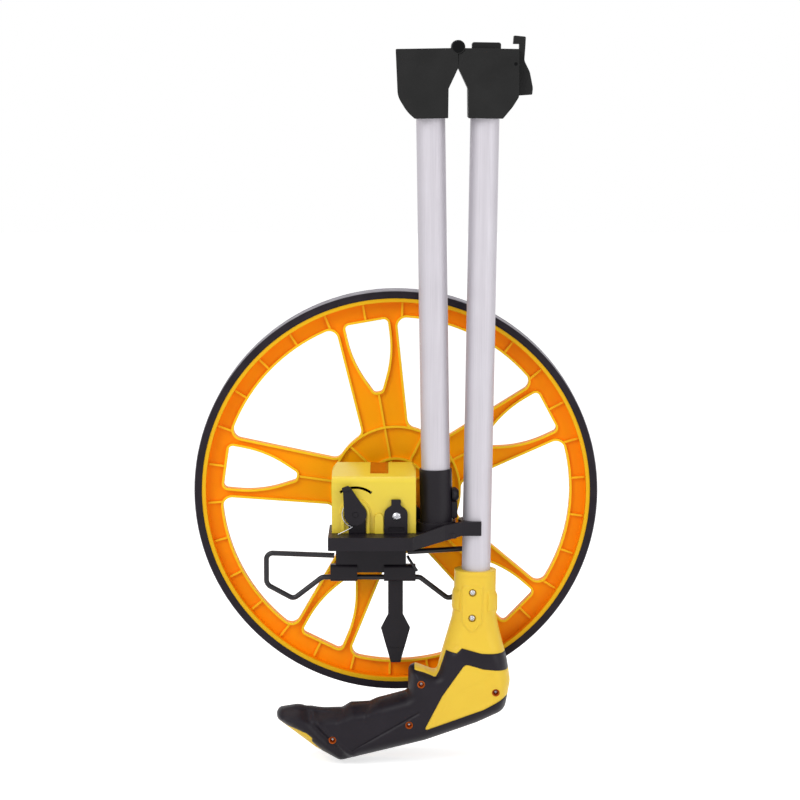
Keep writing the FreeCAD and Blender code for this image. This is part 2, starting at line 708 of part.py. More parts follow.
def cover_bracket():
    """The black lug that screws the cover down, arched round its screw."""
    body = piece("cover_bracket")
    floor = size("case_floor")
    outline = rounded([(-8.9, floor), (9.1, floor), (9.1, -8.6, 6), (3.9, -5.2, 1),
                       (3.9, -0.4, 0.8), (-3.5, -0.4, 0.8), (-3.5, -5.2, 1), (-8.9, -8.6, 6)])
    face = "sizes.case_front"
    pad(body, "lug", "XZ_Plane", [outline], face, f"{face} + 3")
    cut(body, "recess", "XZ_Plane", [rounded([(-6.0, floor + 1.2, 1), (6.9, floor + 1.2, 1),
                                              (6.9, -21.8, 2), (-6.0, -21.8, 2)])],
        f"{face} + 1.5", f"{face} + 4")
    return body


def cover_screw():
    """A slotted pan-head screw through the lug."""
    body = piece("cover_screw", place(0.6, 0, -13.5))
    seat = "sizes.case_front + 3"
    ringed(body, "head", "XZ_Plane", (0, 0), "sizes.screw_radius + 0.2", None, seat,
           f"{seat} + 1.8")
    cut(body, "slot", "XZ_Plane", [box(-4, -0.4, 4, 0.4)], f"{seat} + 0.9", f"{seat} + 3")
    return body


def lever_post():
    """The black post and pivot pin under the reset lever."""
    body = piece("lever_post", place(size("lever_across"), 0, size("lever_height")))
    face = "sizes.case_front"
    floor = size("case_floor") - size("lever_height")
    outline = rounded([(-5.4, floor), (8.0, floor), (8.0, -2, 4), (-5.4, -2, 4)])
    pad(body, "post", "XZ_Plane", [outline], face, f"{face} + 0.9")
    ringed(body, "pin", "XZ_Plane", (0, 0), "sizes.screw_radius - 1", None, face,
           f"{face} + sizes.lever_gap + sizes.lever_thickness + 0.6")
    ringed(body, "boss", "XZ_Plane", (0, 0), "sizes.screw_radius + 1", None, face,
           f"{face} + sizes.lever_gap - 0.3")
    return body


def reset_lever():
    """The teardrop lever that zeroes the counter, with a peg through the curved slot."""
    body = piece("reset_lever", place(size("lever_across"), 0, size("lever_height")))
    hub = size("lever_hub")
    tip = size("lever_tip")
    length = size("lever_length") - tip
    direction = 90 + size("lever_lean")
    tangent = math.degrees(math.acos((hub - tip) / length))
    end = polar(length, direction)
    sides = []
    for side in (-1, 1):
        near = polar(hub, direction + side * tangent)
        offset = polar(tip, direction + side * tangent)
        sides.append((near, (end[0] + offset[0], end[1] + offset[1])))
    (right_near, right_far), (left_near, left_far) = sides
    outline = Part.Face(rounded([right_near, right_far, left_far, left_near]))
    outline = outline.fuse(Part.Face(circle(0, 0, hub)))
    outline = outline.fuse(Part.Face(circle(end[0], end[1], tip))).removeSplitter()
    back = "sizes.case_front + sizes.lever_gap"
    front = f"{back} + sizes.lever_thickness"
    pad(body, "plate", "XZ_Plane", [outline.Faces[0].OuterWire], back, front)
    cut(body, "bore", "XZ_Plane", [circle(0, 0, size("screw_radius") - 1 + size("running_gap"))],
        f"{back} - 1", f"{front} + 1")
    peg = polar(size("peg_reach"), direction)
    ringed(body, "peg", "XZ_Plane", peg, "sizes.peg_radius", None,
           "sizes.case_front - sizes.case_wall", f"{back} + 1")
    return body


def lever_spring():
    """The torsion spring behind the reset lever: one coil and a leg that reaches to the left."""
    wire = 0.45
    coil = size("screw_radius") + 2.6
    across = size("lever_across")
    up = size("lever_height")
    depth = size("case_front") + 1.5
    pitch = 1.1
    helix = Part.makeHelix(pitch, pitch, coil)
    profile = Part.Wire([Part.Circle(Vector(coil, 0, 0), Vector(0, 1, 0), wire).toShape()])
    spring = Part.Wire(helix.Edges).makePipeShell([profile], True, True)
    leg = Part.makeCylinder(wire, 16.0, Vector(coil, 0, 0), Vector(0, -1, 0))
    shape = spring.fuse(leg)
    shape.rotate(Vector(0, 0, 0), Vector(0, 0, 1), 300)
    shape.rotate(Vector(0, 0, 0), Vector(1, 0, 0), 90)
    return feature_of("lever_spring", shape.removeSplitter(), place(across, depth, up))


def tube_socket():
    """The black socket that clamps the lower tube to the base plate."""
    body = piece("tube_socket", arm_place(-1))
    axis = (-size("arm_offset"), 0)
    low = -(size("hinge_height") - size("case_floor")) + 0.6
    outer = "sizes.tube_radius + sizes.socket_wall"
    sketch_low = f"{low}"
    ringed(body, "sleeve", "XY_Plane", axis, outer, "sizes.tube_radius", sketch_low,
           f"{low} + sizes.socket_height")
    ringed(body, "foot", "XY_Plane", axis, "sizes.socket_foot", "sizes.tube_radius", sketch_low,
           f"{low} + 7")
    side = -size("arm_offset") + size("tube_radius")
    fin = rounded([(side + 0.2, low + 9), (side + 5.4, low + 9, 1.5), (side + 5.4, low + 22),
                   (side + 0.2, low + 22)])
    pad(body, "fin", "XZ_Plane", [fin], "-2", "2")
    return body


def socket_knob():
    """The dome nut on the socket's side."""
    low = -(size("hinge_height") - size("case_floor"))
    side = -size("arm_offset") + size("tube_radius") + size("socket_wall")
    dome = Part.makeSphere(6.0)
    dome = dome.common(Part.makeBox(6, 12, 12, Vector(1.2, -6, -6)))
    nut = Part.makeCylinder(5.4, 1.4, Vector(0, 0, 0), Vector(1, 0, 0))
    shape = dome.fuse(nut).removeSplitter()
    shape = shape.common(Part.makeBox(5.2, 12, 12, Vector(0, -6, -6)))
    placement = arm_place(-1).multiply(FreeCAD.Placement(Vector(side, 0, low + 28.2),
                                                         FreeCAD.Rotation()))
    return feature_of("socket_knob", shape, placement)


# ---------------------------------------------------------------- tubes and fold hinge

def arm_place(side):
    """The frame of one arm: at the hinge pin, leaned with its tube. Side is -1 or 1."""
    return place(size("hinge_across"), size("tube_depth"), size("hinge_height"),
                 side * size("lean"))


def tube(label, side, length):
    """One aluminium tube, between two distances below the hinge pin."""
    body = piece(label, arm_place(side))
    ringed(body, "wall", "XY_Plane", (side * size("arm_offset"), 0), "sizes.tube_radius",
           "sizes.tube_radius - sizes.tube_wall", f"-({length})", "-sizes.tube_in_hinge")
    return body


def housing_outline(side):
    """The front view of one hinge housing, from the pin outwards."""
    wide = size("house_width")
    low = -size("house_height")
    gap = 0.3
    points = [(gap, -size("face_drop"))]
    if side < 0:
        points += [(wide + 1.4, -size("face_drop"), 1), (wide + 0.4, -36.5, 16),
                   (wide - 6.5, -48.2, 30), (wide - 12.2, low, 1)]
    else:
        points += [(wide, -size("face_drop"), 1), (wide + 0.4, -37, 2.5),
                   (wide - 4, -44.3, 25), (wide - 11.3, low, 1)]
    points += [(8.4, low, 0.6), (7.8, -31.2), (gap, -15.8)]
    return rounded([(side * point[0], *point[1:]) for point in points])


def knuckle_cuts(body, label, start, end):
    """Room round the pin for the other housing's knuckle."""
    radius = size("knuckle_radius") + size("moving_gap")
    cut(body, label, "XZ_Plane", [circle(0, 0, radius)], start, end)


def lower_hinge_housing():
    """The fixed housing on the lower tube: two outer knuckles and the recess for the plug."""
    body = piece("lower_hinge_housing", arm_place(-1))
    depth = "sizes.house_half_depth"
    offset = size("arm_offset")
    pad(body, "block", "XZ_Plane", [housing_outline(-1)], f"-{depth}", depth)
    ringed(body, "knuckle_front", "XZ_Plane", (0, 0), "sizes.knuckle_radius", None,
           f"{depth} - 10", depth)
    ringed(body, "knuckle_back", "XZ_Plane", (0, 0), "sizes.knuckle_radius", None,
           f"-{depth}", f"10 - {depth}")
    knuckle_cuts(body, "knuckle_room", f"9.6 - {depth}", f"{depth} - 9.6")
    cut(body, "pin_hole", "XZ_Plane", [circle(0, 0, size("pin_radius"))], f"-{depth} - 1",
        f"{depth} + 1")
    cut(body, "tube_hole", "XY_Plane", [circle(-offset, 0, size("tube_radius"))],
        "-sizes.house_height - 1", "-sizes.tube_in_hinge")
    gap = size("moving_gap")
    half = size("plug_half_depth") + gap
    recess = box(-offset - 11.1 - gap, -half, -offset + 11.1 + gap, half)
    plug_end = "sizes.plug_height - sizes.face_drop + sizes.moving_gap"
    cut(body, "plug_recess", "XY_Plane", [recess], f"-({plug_end})", "2")
    half_latch = size("latch_half_width") + gap
    cut(body, "latch_notch", "XY_Plane", [box(-49, -half_latch, -41.3, half_latch)], "-10", "2")
    cut(body, "latch_undercut", "XY_Plane", [box(-42, -half_latch, -39.6, half_latch)], "-10",
        "-2.2")
    return body


def upper_hinge_housing():
    """The moving housing on the upper tube: middle knuckle, centring plug and latch channel."""
    body = piece("upper_hinge_housing", arm_place(1))
    depth = "sizes.house_half_depth"
    offset = size("arm_offset")
    pad(body, "block", "XZ_Plane", [housing_outline(1)], f"-{depth}", depth)
    ringed(body, "knuckle", "XZ_Plane", (0, 0), "sizes.knuckle_radius", None,
           f"10 - {depth}", f"{depth} - 10")
    top = size("plug_height") - size("face_drop")
    plug = rounded([(offset - 10.9, -2), (offset + 10.9, -2), (offset + 10.9, top, 1.8),
                    (offset - 10.9, top, 1.8)])
    pad(body, "plug", "XZ_Plane", [plug], "-sizes.plug_half_depth", "sizes.plug_half_depth")
    knuckle_cuts(body, "room_front", f"{depth} - 10.4", f"{depth} + 1")
    knuckle_cuts(body, "room_back", f"-{depth} - 1", f"10.4 - {depth}")
    running = size("pin_radius") + size("running_gap")
    cut(body, "pin_hole", "XZ_Plane", [circle(0, 0, running)], f"-{depth} - 1", f"{depth} + 1")
    cut(body, "tube_hole", "XY_Plane", [circle(offset, 0, size("tube_radius"))],
        "-sizes.house_height - 1", "-sizes.tube_in_hinge")
    half_latch = size("latch_half_width") + size("moving_gap")
    cut(body, "latch_channel", "XY_Plane", [box(37.5, -half_latch, 50, half_latch)], "-42", "-6.5")
    cut(body, "stem_channel", "XY_Plane", [box(44.2, -half_latch, 50, half_latch)], "-7", "2")
    hole = circle(size("latch_out"), -size("latch_drop"), size("latch_pin_radius"))
    cut(body, "latch_pin_hole", "XZ_Plane", [hole], f"-{depth} - 1", f"{depth} + 1")
    return body


def hinge_pin():
    """The fold hinge's pin, with a low head at each end."""
    body = piece("hinge_pin", arm_place(-1))
    depth = "sizes.house_half_depth"
    ringed(body, "shank", "XZ_Plane", (0, 0), "sizes.pin_radius", None, f"-{depth}", depth)
    ringed(body, "head", "XZ_Plane", (0, 0), "sizes.pin_radius + 0.8", None, depth,
           f"{depth} + 0.6")
    ringed(body, "tail", "XZ_Plane", (0, 0), "sizes.pin_radius + 0.8", None, f"-{depth} - 0.6",
           f"-{depth}")
    return body


def latch_place():
    """The latch pivot's frame on the upper arm."""
    pivot = Vector(size("latch_out"), 0, -size("latch_drop"))
    return arm_place(1).multiply(FreeCAD.Placement(pivot, FreeCAD.Rotation()))


def latch_lever():
    """The latch: a hook above the mating faces, a stem, and a tail to press."""
    body = piece("latch_lever", latch_place())
    half = "sizes.latch_half_width"
    outline = rounded([(-1.8, 14.9), (-1.4, 21.4, 1), (7.6, 20.6, 1), (7.4, 13.8, 2),
                       (6.8, 2.6, 6), (11.2, -6.0, 12), (13.8, -18.0, 12), (13.3, -23.0, 0.8),
                       (2.8, -23.9, 0.8), (2.8, 14.9)])
    pad(body, "hook_and_tail", "XZ_Plane", [outline], f"-{half}", half)
    ear = Part.Face(circle(0, 0, 3.0)).fuse(Part.Face(box(0, -3, 4, 3))).removeSplitter()
    pad(body, "ear", "XZ_Plane", [ear.Faces[0].OuterWire], "-sizes.ear_half_width",
        "sizes.ear_half_width")
    running = size("latch_pin_radius") + size("running_gap")
    cut(body, "bore", "XZ_Plane", [circle(0, 0, running)], f"-{half} - 1", f"{half} + 1")
    return body


def latch_pin():
    """The pin that the latch turns on."""
    body = piece("latch_pin", latch_place())
    ringed(body, "pin", "XZ_Plane", (0, 0), "sizes.latch_pin_radius", None,
           "-sizes.house_half_depth", "sizes.house_half_depth")
    return body


def latch_spring():
    """The latch's torsion spring, wound on its pin beside the ear."""
    body = piece("latch_spring", latch_place())
    ringed(body, "coils", "XZ_Plane", (0, 0), "sizes.latch_pin_radius + 1.0",
           "sizes.latch_pin_radius", "sizes.ear_half_width + 0.3", "sizes.latch_half_width + 0.2")
    return body


# ---------------------------------------------------------------- stand and pointer

def stand_bracket():
    """The plate under the base plate with two folded clips for the stand's wire."""
    centre = size("stand_centre")
    body = piece("stand_bracket", place(centre, 0, -size("stand_drop")))
    middle = size("stand_depth")
    top = size("stand_drop") + size("case_floor") - size("plate_thickness")
    width = 27.6
    thick = size("bracket_thickness") / 2
    pad(body, "plate", "XZ_Plane", [box(-width, 3.9, width, top)],
        f"sizes.stand_depth - {thick}", f"sizes.stand_depth + {thick}")
    half = size("clip_half")
    low = -size("wire_radius") - 1.0
    high = low + size("clip_height")
    clip = rounded([(-middle - half, low, 2.6), (-middle + half, low, 2.6),
                    (-middle + half, high), (-middle - half, high, 2.6)])
    for name, start, end in (("left", -31.9, -10.8), ("right", 10.2, 35.1)):
        pad(body, f"clip_{name}", "YZ_Plane", [clip], f"{start}", f"{end}")
    wire = size("wire_radius") + size("running_gap")
    cut(body, "wire_hole", "YZ_Plane", [circle(-middle, 0, wire)], "-60", "60")
    return body


def wire_stand():
    """The bent wire stand: a straight pivot in the clips and a loop on each side."""
    half = size("stand_half_width")
    rise = size("stand_rise")
    dip = size("stand_dip")
    left = [(28.8, rise - 2, 0), (half, rise, 5), (half, -5.8, 6), (61.0, -dip, 5), (38.4, 0, 5)]
    right = [(28.8, rise + 0.8, 0), (half, rise + 4, 5)] + left[2:]
    corners = [(-x, z, r) for x, z, r in left] + [(x, z, r) for x, z, r in reversed(right)]
    points = [Vector(x, 0, z) for x, z, r in corners]
    edges = []
    last = points[0]
    for i in range(1, len(points) - 1):
        here = points[i]
        before = (points[i - 1] - here).normalize()
        after = (points[i + 1] - here).normalize()
        half_angle = before.getAngle(after) / 2
        radius = corners[i][2]
        back = radius / math.tan(half_angle)
        start = here + before * back
        end = here + after * back
        middle = (before + after).normalize()
        bend = here + middle * (radius / math.sin(half_angle) - radius)
        edges.append(Part.LineSegment(last, start).toShape())
        edges.append(Part.Arc(start, bend, end).toShape())
        last = end
    edges.append(Part.LineSegment(last, points[-1]).toShape())
    path = Part.Wire(edges)
    direction = points[1] - points[0]
    circle_wire = Part.Wire([Part.Circle(points[0], direction, size("wire_radius")).toShape()])
    shape = path.makePipeShell([circle_wire], True, False)
    placement = place(size("stand_centre"), size("stand_depth"), -size("stand_drop"))
    return feature_of("wire_stand", shape, placement)


def pointer():
    """The strip that points at the tyre's contact with the ground, its tip bent to the wheel."""
    body = piece("pointer")
    back = "sizes.pointer_depth"
    foot = size("case_floor") - 1
    middle = -0.3
    half = [(5.9, foot), (5.9, -99.5, 2), (11.6, -110.6, 0.8), (7.2, -126.5)]
    outline = rounded([(middle - x, *rest) for x, *rest in half]
                      + [(middle + x, *rest) for x, *rest in reversed(half)])
    pad(body, "strip", "XZ_Plane", [outline], back, f"{back} + sizes.pointer_thickness")
    tip = rounded([(middle - 7.4, -125.6), (middle - 3.8, -138.7, 0.6),
                   (middle + 3.8, -138.7, 0.6), (middle + 7.4, -125.6)])
    pad(body, "tip", "XZ_Plane", [tip], f"{back} - 0.8", f"{back} + sizes.pointer_thickness - 0.8")
    return body


# ---------------------------------------------------------------- grip

def grip_place():
    """The grip's frame: on the upper tube's centreline, level with the collar's top."""
    drop = Vector(size("arm_offset"), 0, -size("collar_drop"))
    return arm_place(1).multiply(FreeCAD.Placement(drop, FreeCAD.Rotation()))


def grip_outline():
    """The grip's whole outline: collar, fist of the grip, and the long handle to the left."""
    return rounded([
        (-16.6, 0, 3), (-17.8, -30, 6), (-18.2, -38, 10), (-24.9, -62, 30), (-29.8, -81.5, 3),
        (-40, -77, 10), (-51.5, -78.0, 4), (-51.7, -97, 4), (-80, -107.2, 20), (-99, -110.4, 4),
        (-104, -114, 5), (-118, -114, 30), (-138, -111.2, 12), (-154.5, -113.4, 4),
        (-154, -121, 5), (-123.5, -144.2, 20), (-104, -156.2, 9), (-37.5, -137.8, 60),
        (3, -121.8, 30), (24.5, -111.5, 12), (28.4, -88, 20), (25.5, -71, 20), (18.4, -45.5, 20),
        (16.3, -34, 6), (15.6, 0, 3)])


COLLAR_REGION = [(-60, 10), (60, 10), (60, -64.3), (5.3, -64.2), (-10.2, -60.2), (-14.1, -64.1),
                 (-22.8, -62.6), (-60, -62.6)]
PANEL_REGION = [(-39.9, -125.3), (-24.9, -97.9, 10), (-7.5, -72.2, 4), (6.9, -76.2, 6),
                (60, -80), (60, -97.8), (26.7, -97.8), (7.5, -108.6, 8), (-37.1, -127.2, 3)]
END_REGION = [(-170, -123.5), (-147, -123.5), (-138, -126.5, 4), (-127, -135, 3), (-121.5, -139),
              (-121.5, -170), (-170, -170)]


def grip_region(points):
    """The part of the grip's outline inside a region."""
    return shared(grip_outline(), rounded(points))


def front_or_back(front, half):
    """Start and end of one half of the grip, to a half thickness."""
    if front:
        return "0", half
    return f"-({half})", "0"


def grip_shell(label, front):
    """One half of the yellow core: the collar, the panel and the core under the rubber."""
    body = piece(label, grip_place())
    core = Part.Face(grip_outline()).makeOffset2D(-size("skin"))
    start, end = front_or_back(front, "sizes.grip_half - sizes.skin - 2.6")
    pad(body, "core", "XZ_Plane", wires_of(core), start, end)
    start, end = front_or_back(front, "sizes.collar_half")
    pad(body, "collar", "XZ_Plane", grip_region(COLLAR_REGION), start, end)
    start, end = front_or_back(front, "sizes.grip_half - 0.2")
    pad(body, "panel", "XZ_Plane", grip_region(PANEL_REGION), start, end)
    cut(body, "tube_hole", "XY_Plane", [circle(0, 0, size("tube_radius"))],
        "-sizes.tube_in_grip", "1")
    return body


def grip_overmould(label, front):
    """One half of the black rubber over the core."""
    body = piece(label, grip_place())
    start, end = front_or_back(front, "sizes.grip_half")
    below = shared(grip_outline(), rounded([(-170, -62.6), (-22.8, -62.6), (-14.1, -64.1),
                                            (-10.2, -60.2), (5.3, -64.2), (60, -64.3),
                                            (60, -170), (-170, -170)]))
    pad(body, "rubber", "XZ_Plane", below, start, end)
    core = Part.Face(grip_outline()).makeOffset2D(-size("skin"))
    reach = "sizes.grip_half - sizes.skin - 2.6"
    low, high = ("-1", reach) if front else (f"-({reach})", "1")
    cut(body, "core_room", "XZ_Plane", wires_of(core), low, high)
    cut(body, "panel_room", "XZ_Plane", [rounded(PANEL_REGION)], "-sizes.grip_half - 1",
        "sizes.grip_half + 1")
    cut(body, "end_room", "XZ_Plane", [rounded(END_REGION)], "-sizes.grip_half - 1",
        "sizes.grip_half + 1")
    return body


def grip_end_piece():
    """The yellow corner piece at the far end of the grip."""
    body = piece("grip_end_piece", grip_place())
    pad(body, "corner", "XZ_Plane", grip_region(END_REGION), "-sizes.grip_half + 0.6",
        "sizes.grip_half - 0.6")
    core = Part.Face(grip_outline()).makeOffset2D(-size("skin"))
    reach = "sizes.grip_half - sizes.skin - 2.6"
    cut(body, "core_room", "XZ_Plane", wires_of(core), f"-({reach})", reach)
    return body


def screws(label, places, seat):
    """Countersunk-looking screw heads set flush on the front of the grip."""
    heads = []
    for x, z in places:
        head = Part.makeCylinder(size("screw_radius"), 1.0, Vector(x, -seat - 0.5, z),
                                 Vector(0, -1, 0))
        cross = Part.makeBox(0.8, 1.0, 3.6, Vector(x - 0.4, -seat - 2.0, z - 1.8))
        shank = Part.makeCylinder(1.2, 1.0, Vector(x, -seat, z), Vector(0, -1, 0))
        heads.append(head.cut(cross).fuse(shank))
    return feature_of(label, Part.makeCompound(heads), grip_place())


# ---------------------------------------------------------------- build

wheel_moulding()
tyre()
bearing("bearing_front", "sizes.rim_width / 2 - sizes.bearing_width", "sizes.rim_width / 2")
bearing("bearing_back", "-sizes.rim_width / 2", "-sizes.rim_width / 2 + sizes.bearing_width")
hub_gear()
axle_bolt()
axle_nut()
axle_bracket()
back_plate()
for number in range(1, 6):
    drum(number)
drum_shaft()
counter_cover()
counter_window()
base_plate()
cover_bracket()
cover_screw()
lever_post()
reset_lever()
lever_spring()
tube_socket()
socket_knob()
tube("lower_tube", -1, "sizes.lower_length")
tube("upper_tube", 1, "sizes.collar_drop + sizes.tube_in_grip")
lower_hinge_housing()
upper_hinge_housing()
hinge_pin()
latch_lever()
latch_pin()
latch_spring()
stand_bracket()
wire_stand()
pointer()
grip_shell("grip_shell_front", True)
grip_shell("grip_shell_back", False)
grip_overmould("grip_overmould_front", True)
grip_overmould("grip_overmould_back", False)
grip_end_piece()
screws("collar_screws", [(-2.7, -16.5), (-2.7, -36.6)], size("collar_half"))
screws("grip_screws", [(-41.4, -89.0), (-50.3, -121.5), (-109.8, -134.2)], size("grip_half"))

doc.recompute()

failed = []
for thing in doc.Objects:
    if "Invalid" in thing.State or "Error" in thing.State:
        failed.append(f"{thing.Label}: {thing.State}")
sub_parts = [thing for thing in doc.Objects if thing.TypeId in ("PartDesign::Body", "Part::Feature")]
for sub_part in sub_parts:
    if sub_part.Shape.isNull() or not sub_part.Shape.isValid():
        failed.append(f"{sub_part.Label}: shape is null or not valid")
if failed:
    raise RuntimeError("; ".join(failed))

for sub_part in sub_parts:
    sub_part.Shape.exportStep(f"parts/{sub_part.Label}.step")
    print(f"{sub_part.Label}: {sub_part.Shape.Volume:.0f} mm3, {len(sub_part.Shape.Solids)} solid")
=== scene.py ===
import json
import math
import bpy
import bmesh
import numpy as np
from mathutils import Matrix, Vector
from mathutils.geometry import delaunay_2d_cdt


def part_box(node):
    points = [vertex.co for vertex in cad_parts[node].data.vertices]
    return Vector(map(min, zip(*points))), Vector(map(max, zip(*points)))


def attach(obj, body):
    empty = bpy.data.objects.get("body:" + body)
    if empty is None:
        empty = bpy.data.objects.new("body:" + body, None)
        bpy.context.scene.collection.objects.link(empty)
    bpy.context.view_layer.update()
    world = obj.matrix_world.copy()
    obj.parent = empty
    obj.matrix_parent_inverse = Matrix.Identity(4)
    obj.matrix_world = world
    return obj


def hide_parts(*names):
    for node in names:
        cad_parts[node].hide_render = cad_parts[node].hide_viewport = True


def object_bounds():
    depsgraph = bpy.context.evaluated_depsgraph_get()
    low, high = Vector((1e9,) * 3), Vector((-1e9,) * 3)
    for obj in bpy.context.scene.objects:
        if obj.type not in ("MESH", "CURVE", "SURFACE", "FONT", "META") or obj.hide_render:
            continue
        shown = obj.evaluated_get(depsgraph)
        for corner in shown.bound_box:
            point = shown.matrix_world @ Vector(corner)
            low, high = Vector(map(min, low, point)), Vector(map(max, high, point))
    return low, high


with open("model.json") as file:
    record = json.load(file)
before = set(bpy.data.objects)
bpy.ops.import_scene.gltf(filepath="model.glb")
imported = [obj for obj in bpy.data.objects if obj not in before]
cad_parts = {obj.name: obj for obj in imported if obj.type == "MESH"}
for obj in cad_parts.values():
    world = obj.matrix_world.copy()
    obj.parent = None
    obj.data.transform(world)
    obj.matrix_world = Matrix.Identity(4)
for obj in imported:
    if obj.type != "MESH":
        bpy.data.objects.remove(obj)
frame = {"nodes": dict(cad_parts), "record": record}
cad_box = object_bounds()
MM = 0.001
JOINTS = {joint["name"]: joint for joint in frame["record"]["behaviour"]["joints"]}


# ---------------------------------------------------------------- places

AXLE_HEIGHT = JOINTS["wheel_spin"]["pos_m"][2]
HINGE_PIN = Vector(JOINTS["fold_hinge"]["pos_m"])
LEAN = math.radians((JOINTS["fold_hinge"]["range_deg"][1] - 180) / 2)
# The folding tube's centreline passes this far from the hinge pin, and the grip's collar starts
# this far down it. Grip pieces are drawn round that point, in front view.
ARM_OFFSET = 21.5 * MM
COLLAR_DROP = 402.9 * MM
GRIP_FRAME = (Matrix.Translation(HINGE_PIN) @ Matrix.Rotation(LEAN, 4, "Y")
              @ Matrix.Translation((ARM_OFFSET, 0, -COLLAR_DROP)))


# ---------------------------------------------------------------- colours and nodes

def colour(code):
    """An sRGB hex colour as linear red, green, blue and alpha."""
    parts = [int(code[i:i + 2], 16) / 255 for i in (1, 3, 5)]
    return [c / 12.92 if c <= 0.04045 else ((c + 0.055) / 1.055) ** 2.4 for c in parts] + [1.0]


def add(tree, kind, inputs=None, **settings):
    """A shader node with its settings, and its inputs set to values or linked to sockets."""
    made = tree.nodes.new("ShaderNode" + kind)
    for key, value in settings.items():
        setattr(made, key, value)
    for key, value in (inputs or {}).items():
        if isinstance(value, bpy.types.NodeSocket):
            tree.links.new(value, made.inputs[key])
        else:
            made.inputs[key].default_value = value
    return made


def new_material(name, **inputs):
    """A material with one Principled shader, and the tree and shader to build on."""
    material = bpy.data.materials.new(name)
    material.use_nodes = True
    tree = material.node_tree
    shader = tree.nodes["Principled BSDF"]
    for key, value in inputs.items():
        shader.inputs[key.replace("_", " ")].default_value = value
    return material, tree, shader


# ---------------------------------------------------------------- materials

BEVEL_SAMPLES = 6


def grained_surface(tree, shader, grain, relief, edge, smoothest, roughest, span=(0.3, 0.7)):
    """Roughness and relief that follow one grain, over edges rounded off. It gives the normal
    of the rounded edges alone."""
    polish = add(tree, "MapRange", {"Value": grain, "From Min": span[0], "From Max": span[1],
                                    "To Min": smoothest, "To Max": roughest})
    tree.links.new(polish.outputs["Result"], shader.inputs["Roughness"])
    rounded = add(tree, "Bevel", {"Radius": edge}, samples=BEVEL_SAMPLES).outputs["Normal"]
    bump = add(tree, "Bump", {"Height": grain, "Distance": relief, "Strength": 1.0,
                              "Normal": rounded})
    tree.links.new(bump.outputs["Normal"], shader.inputs["Normal"])
    return rounded


def from_axle(tree, place):
    """How far a place is out from the axle, and how far along it behind the middle plane."""
    split = add(tree, "SeparateXYZ", {"Vector": place})
    level = add(tree, "Math", {0: split.outputs["Z"], 1: AXLE_HEIGHT}, operation="SUBTRACT")
    face = add(tree, "CombineXYZ", {"X": split.outputs["X"], "Z": level.outputs[0]})
    radius = add(tree, "VectorMath", {0: face.outputs[0]}, operation="LENGTH").outputs["Value"]
    return radius, split.outputs["Y"]


def moulded_plastic(name, base, pale, grain, grain_depth, rough, edge, specular=0.12, glow=0.0):
    """A moulded plastic: a tone that drifts a little with the flow of the melt, a fine grain or
    orange peel from the tool, and outside edges rounded off and rubbed a little paler."""
    material, tree, shader = new_material(name, IOR=1.5)
    place = add(tree, "TexCoord").outputs["Object"]
    flow = add(tree, "TexNoise", {"Vector": place, "Scale": 1 / (22 * MM), "Detail": 3.0})
    drift = add(tree, "MapRange", {"Value": flow.outputs["Fac"], "From Min": 0.35, "From Max": 0.65,
                                   "To Min": 0.0, "To Max": 0.5})
    tone = add(tree, "Mix", {0: drift.outputs["Result"], 6: colour(base), 7: colour(pale)},
               data_type="RGBA")
    fine = add(tree, "TexNoise", {"Vector": place, "Scale": 1 / grain, "Detail": 3.0})
    rounded = grained_surface(tree, shader, fine.outputs["Fac"], grain_depth, edge,
                              rough - 0.05, rough + 0.07)
    normal = add(tree, "NewGeometry").outputs["Normal"]
    agree = add(tree, "VectorMath", {0: normal, 1: rounded}, operation="DOT_PRODUCT")
    rubbed = add(tree, "MapRange", {"Value": agree.outputs["Value"], "From Min": 0.998,
                                    "From Max": 0.93, "To Min": 0.0, "To Max": 0.6})
    worn = add(tree, "Mix", {0: rubbed.outputs["Result"], 6: tone.outputs[2], 7: colour(pale)},
               data_type="RGBA")
    tree.links.new(worn.outputs[2], shader.inputs["Base Color"])
    shader.inputs["Specular IOR Level"].default_value = specular
    if glow:
        shader.inputs["Subsurface Weight"].default_value = glow
        shader.inputs["Subsurface Radius"].default_value = (1.0, 0.5, 0.1)
        shader.inputs["Subsurface Scale"].default_value = 1.5 * MM
    return material


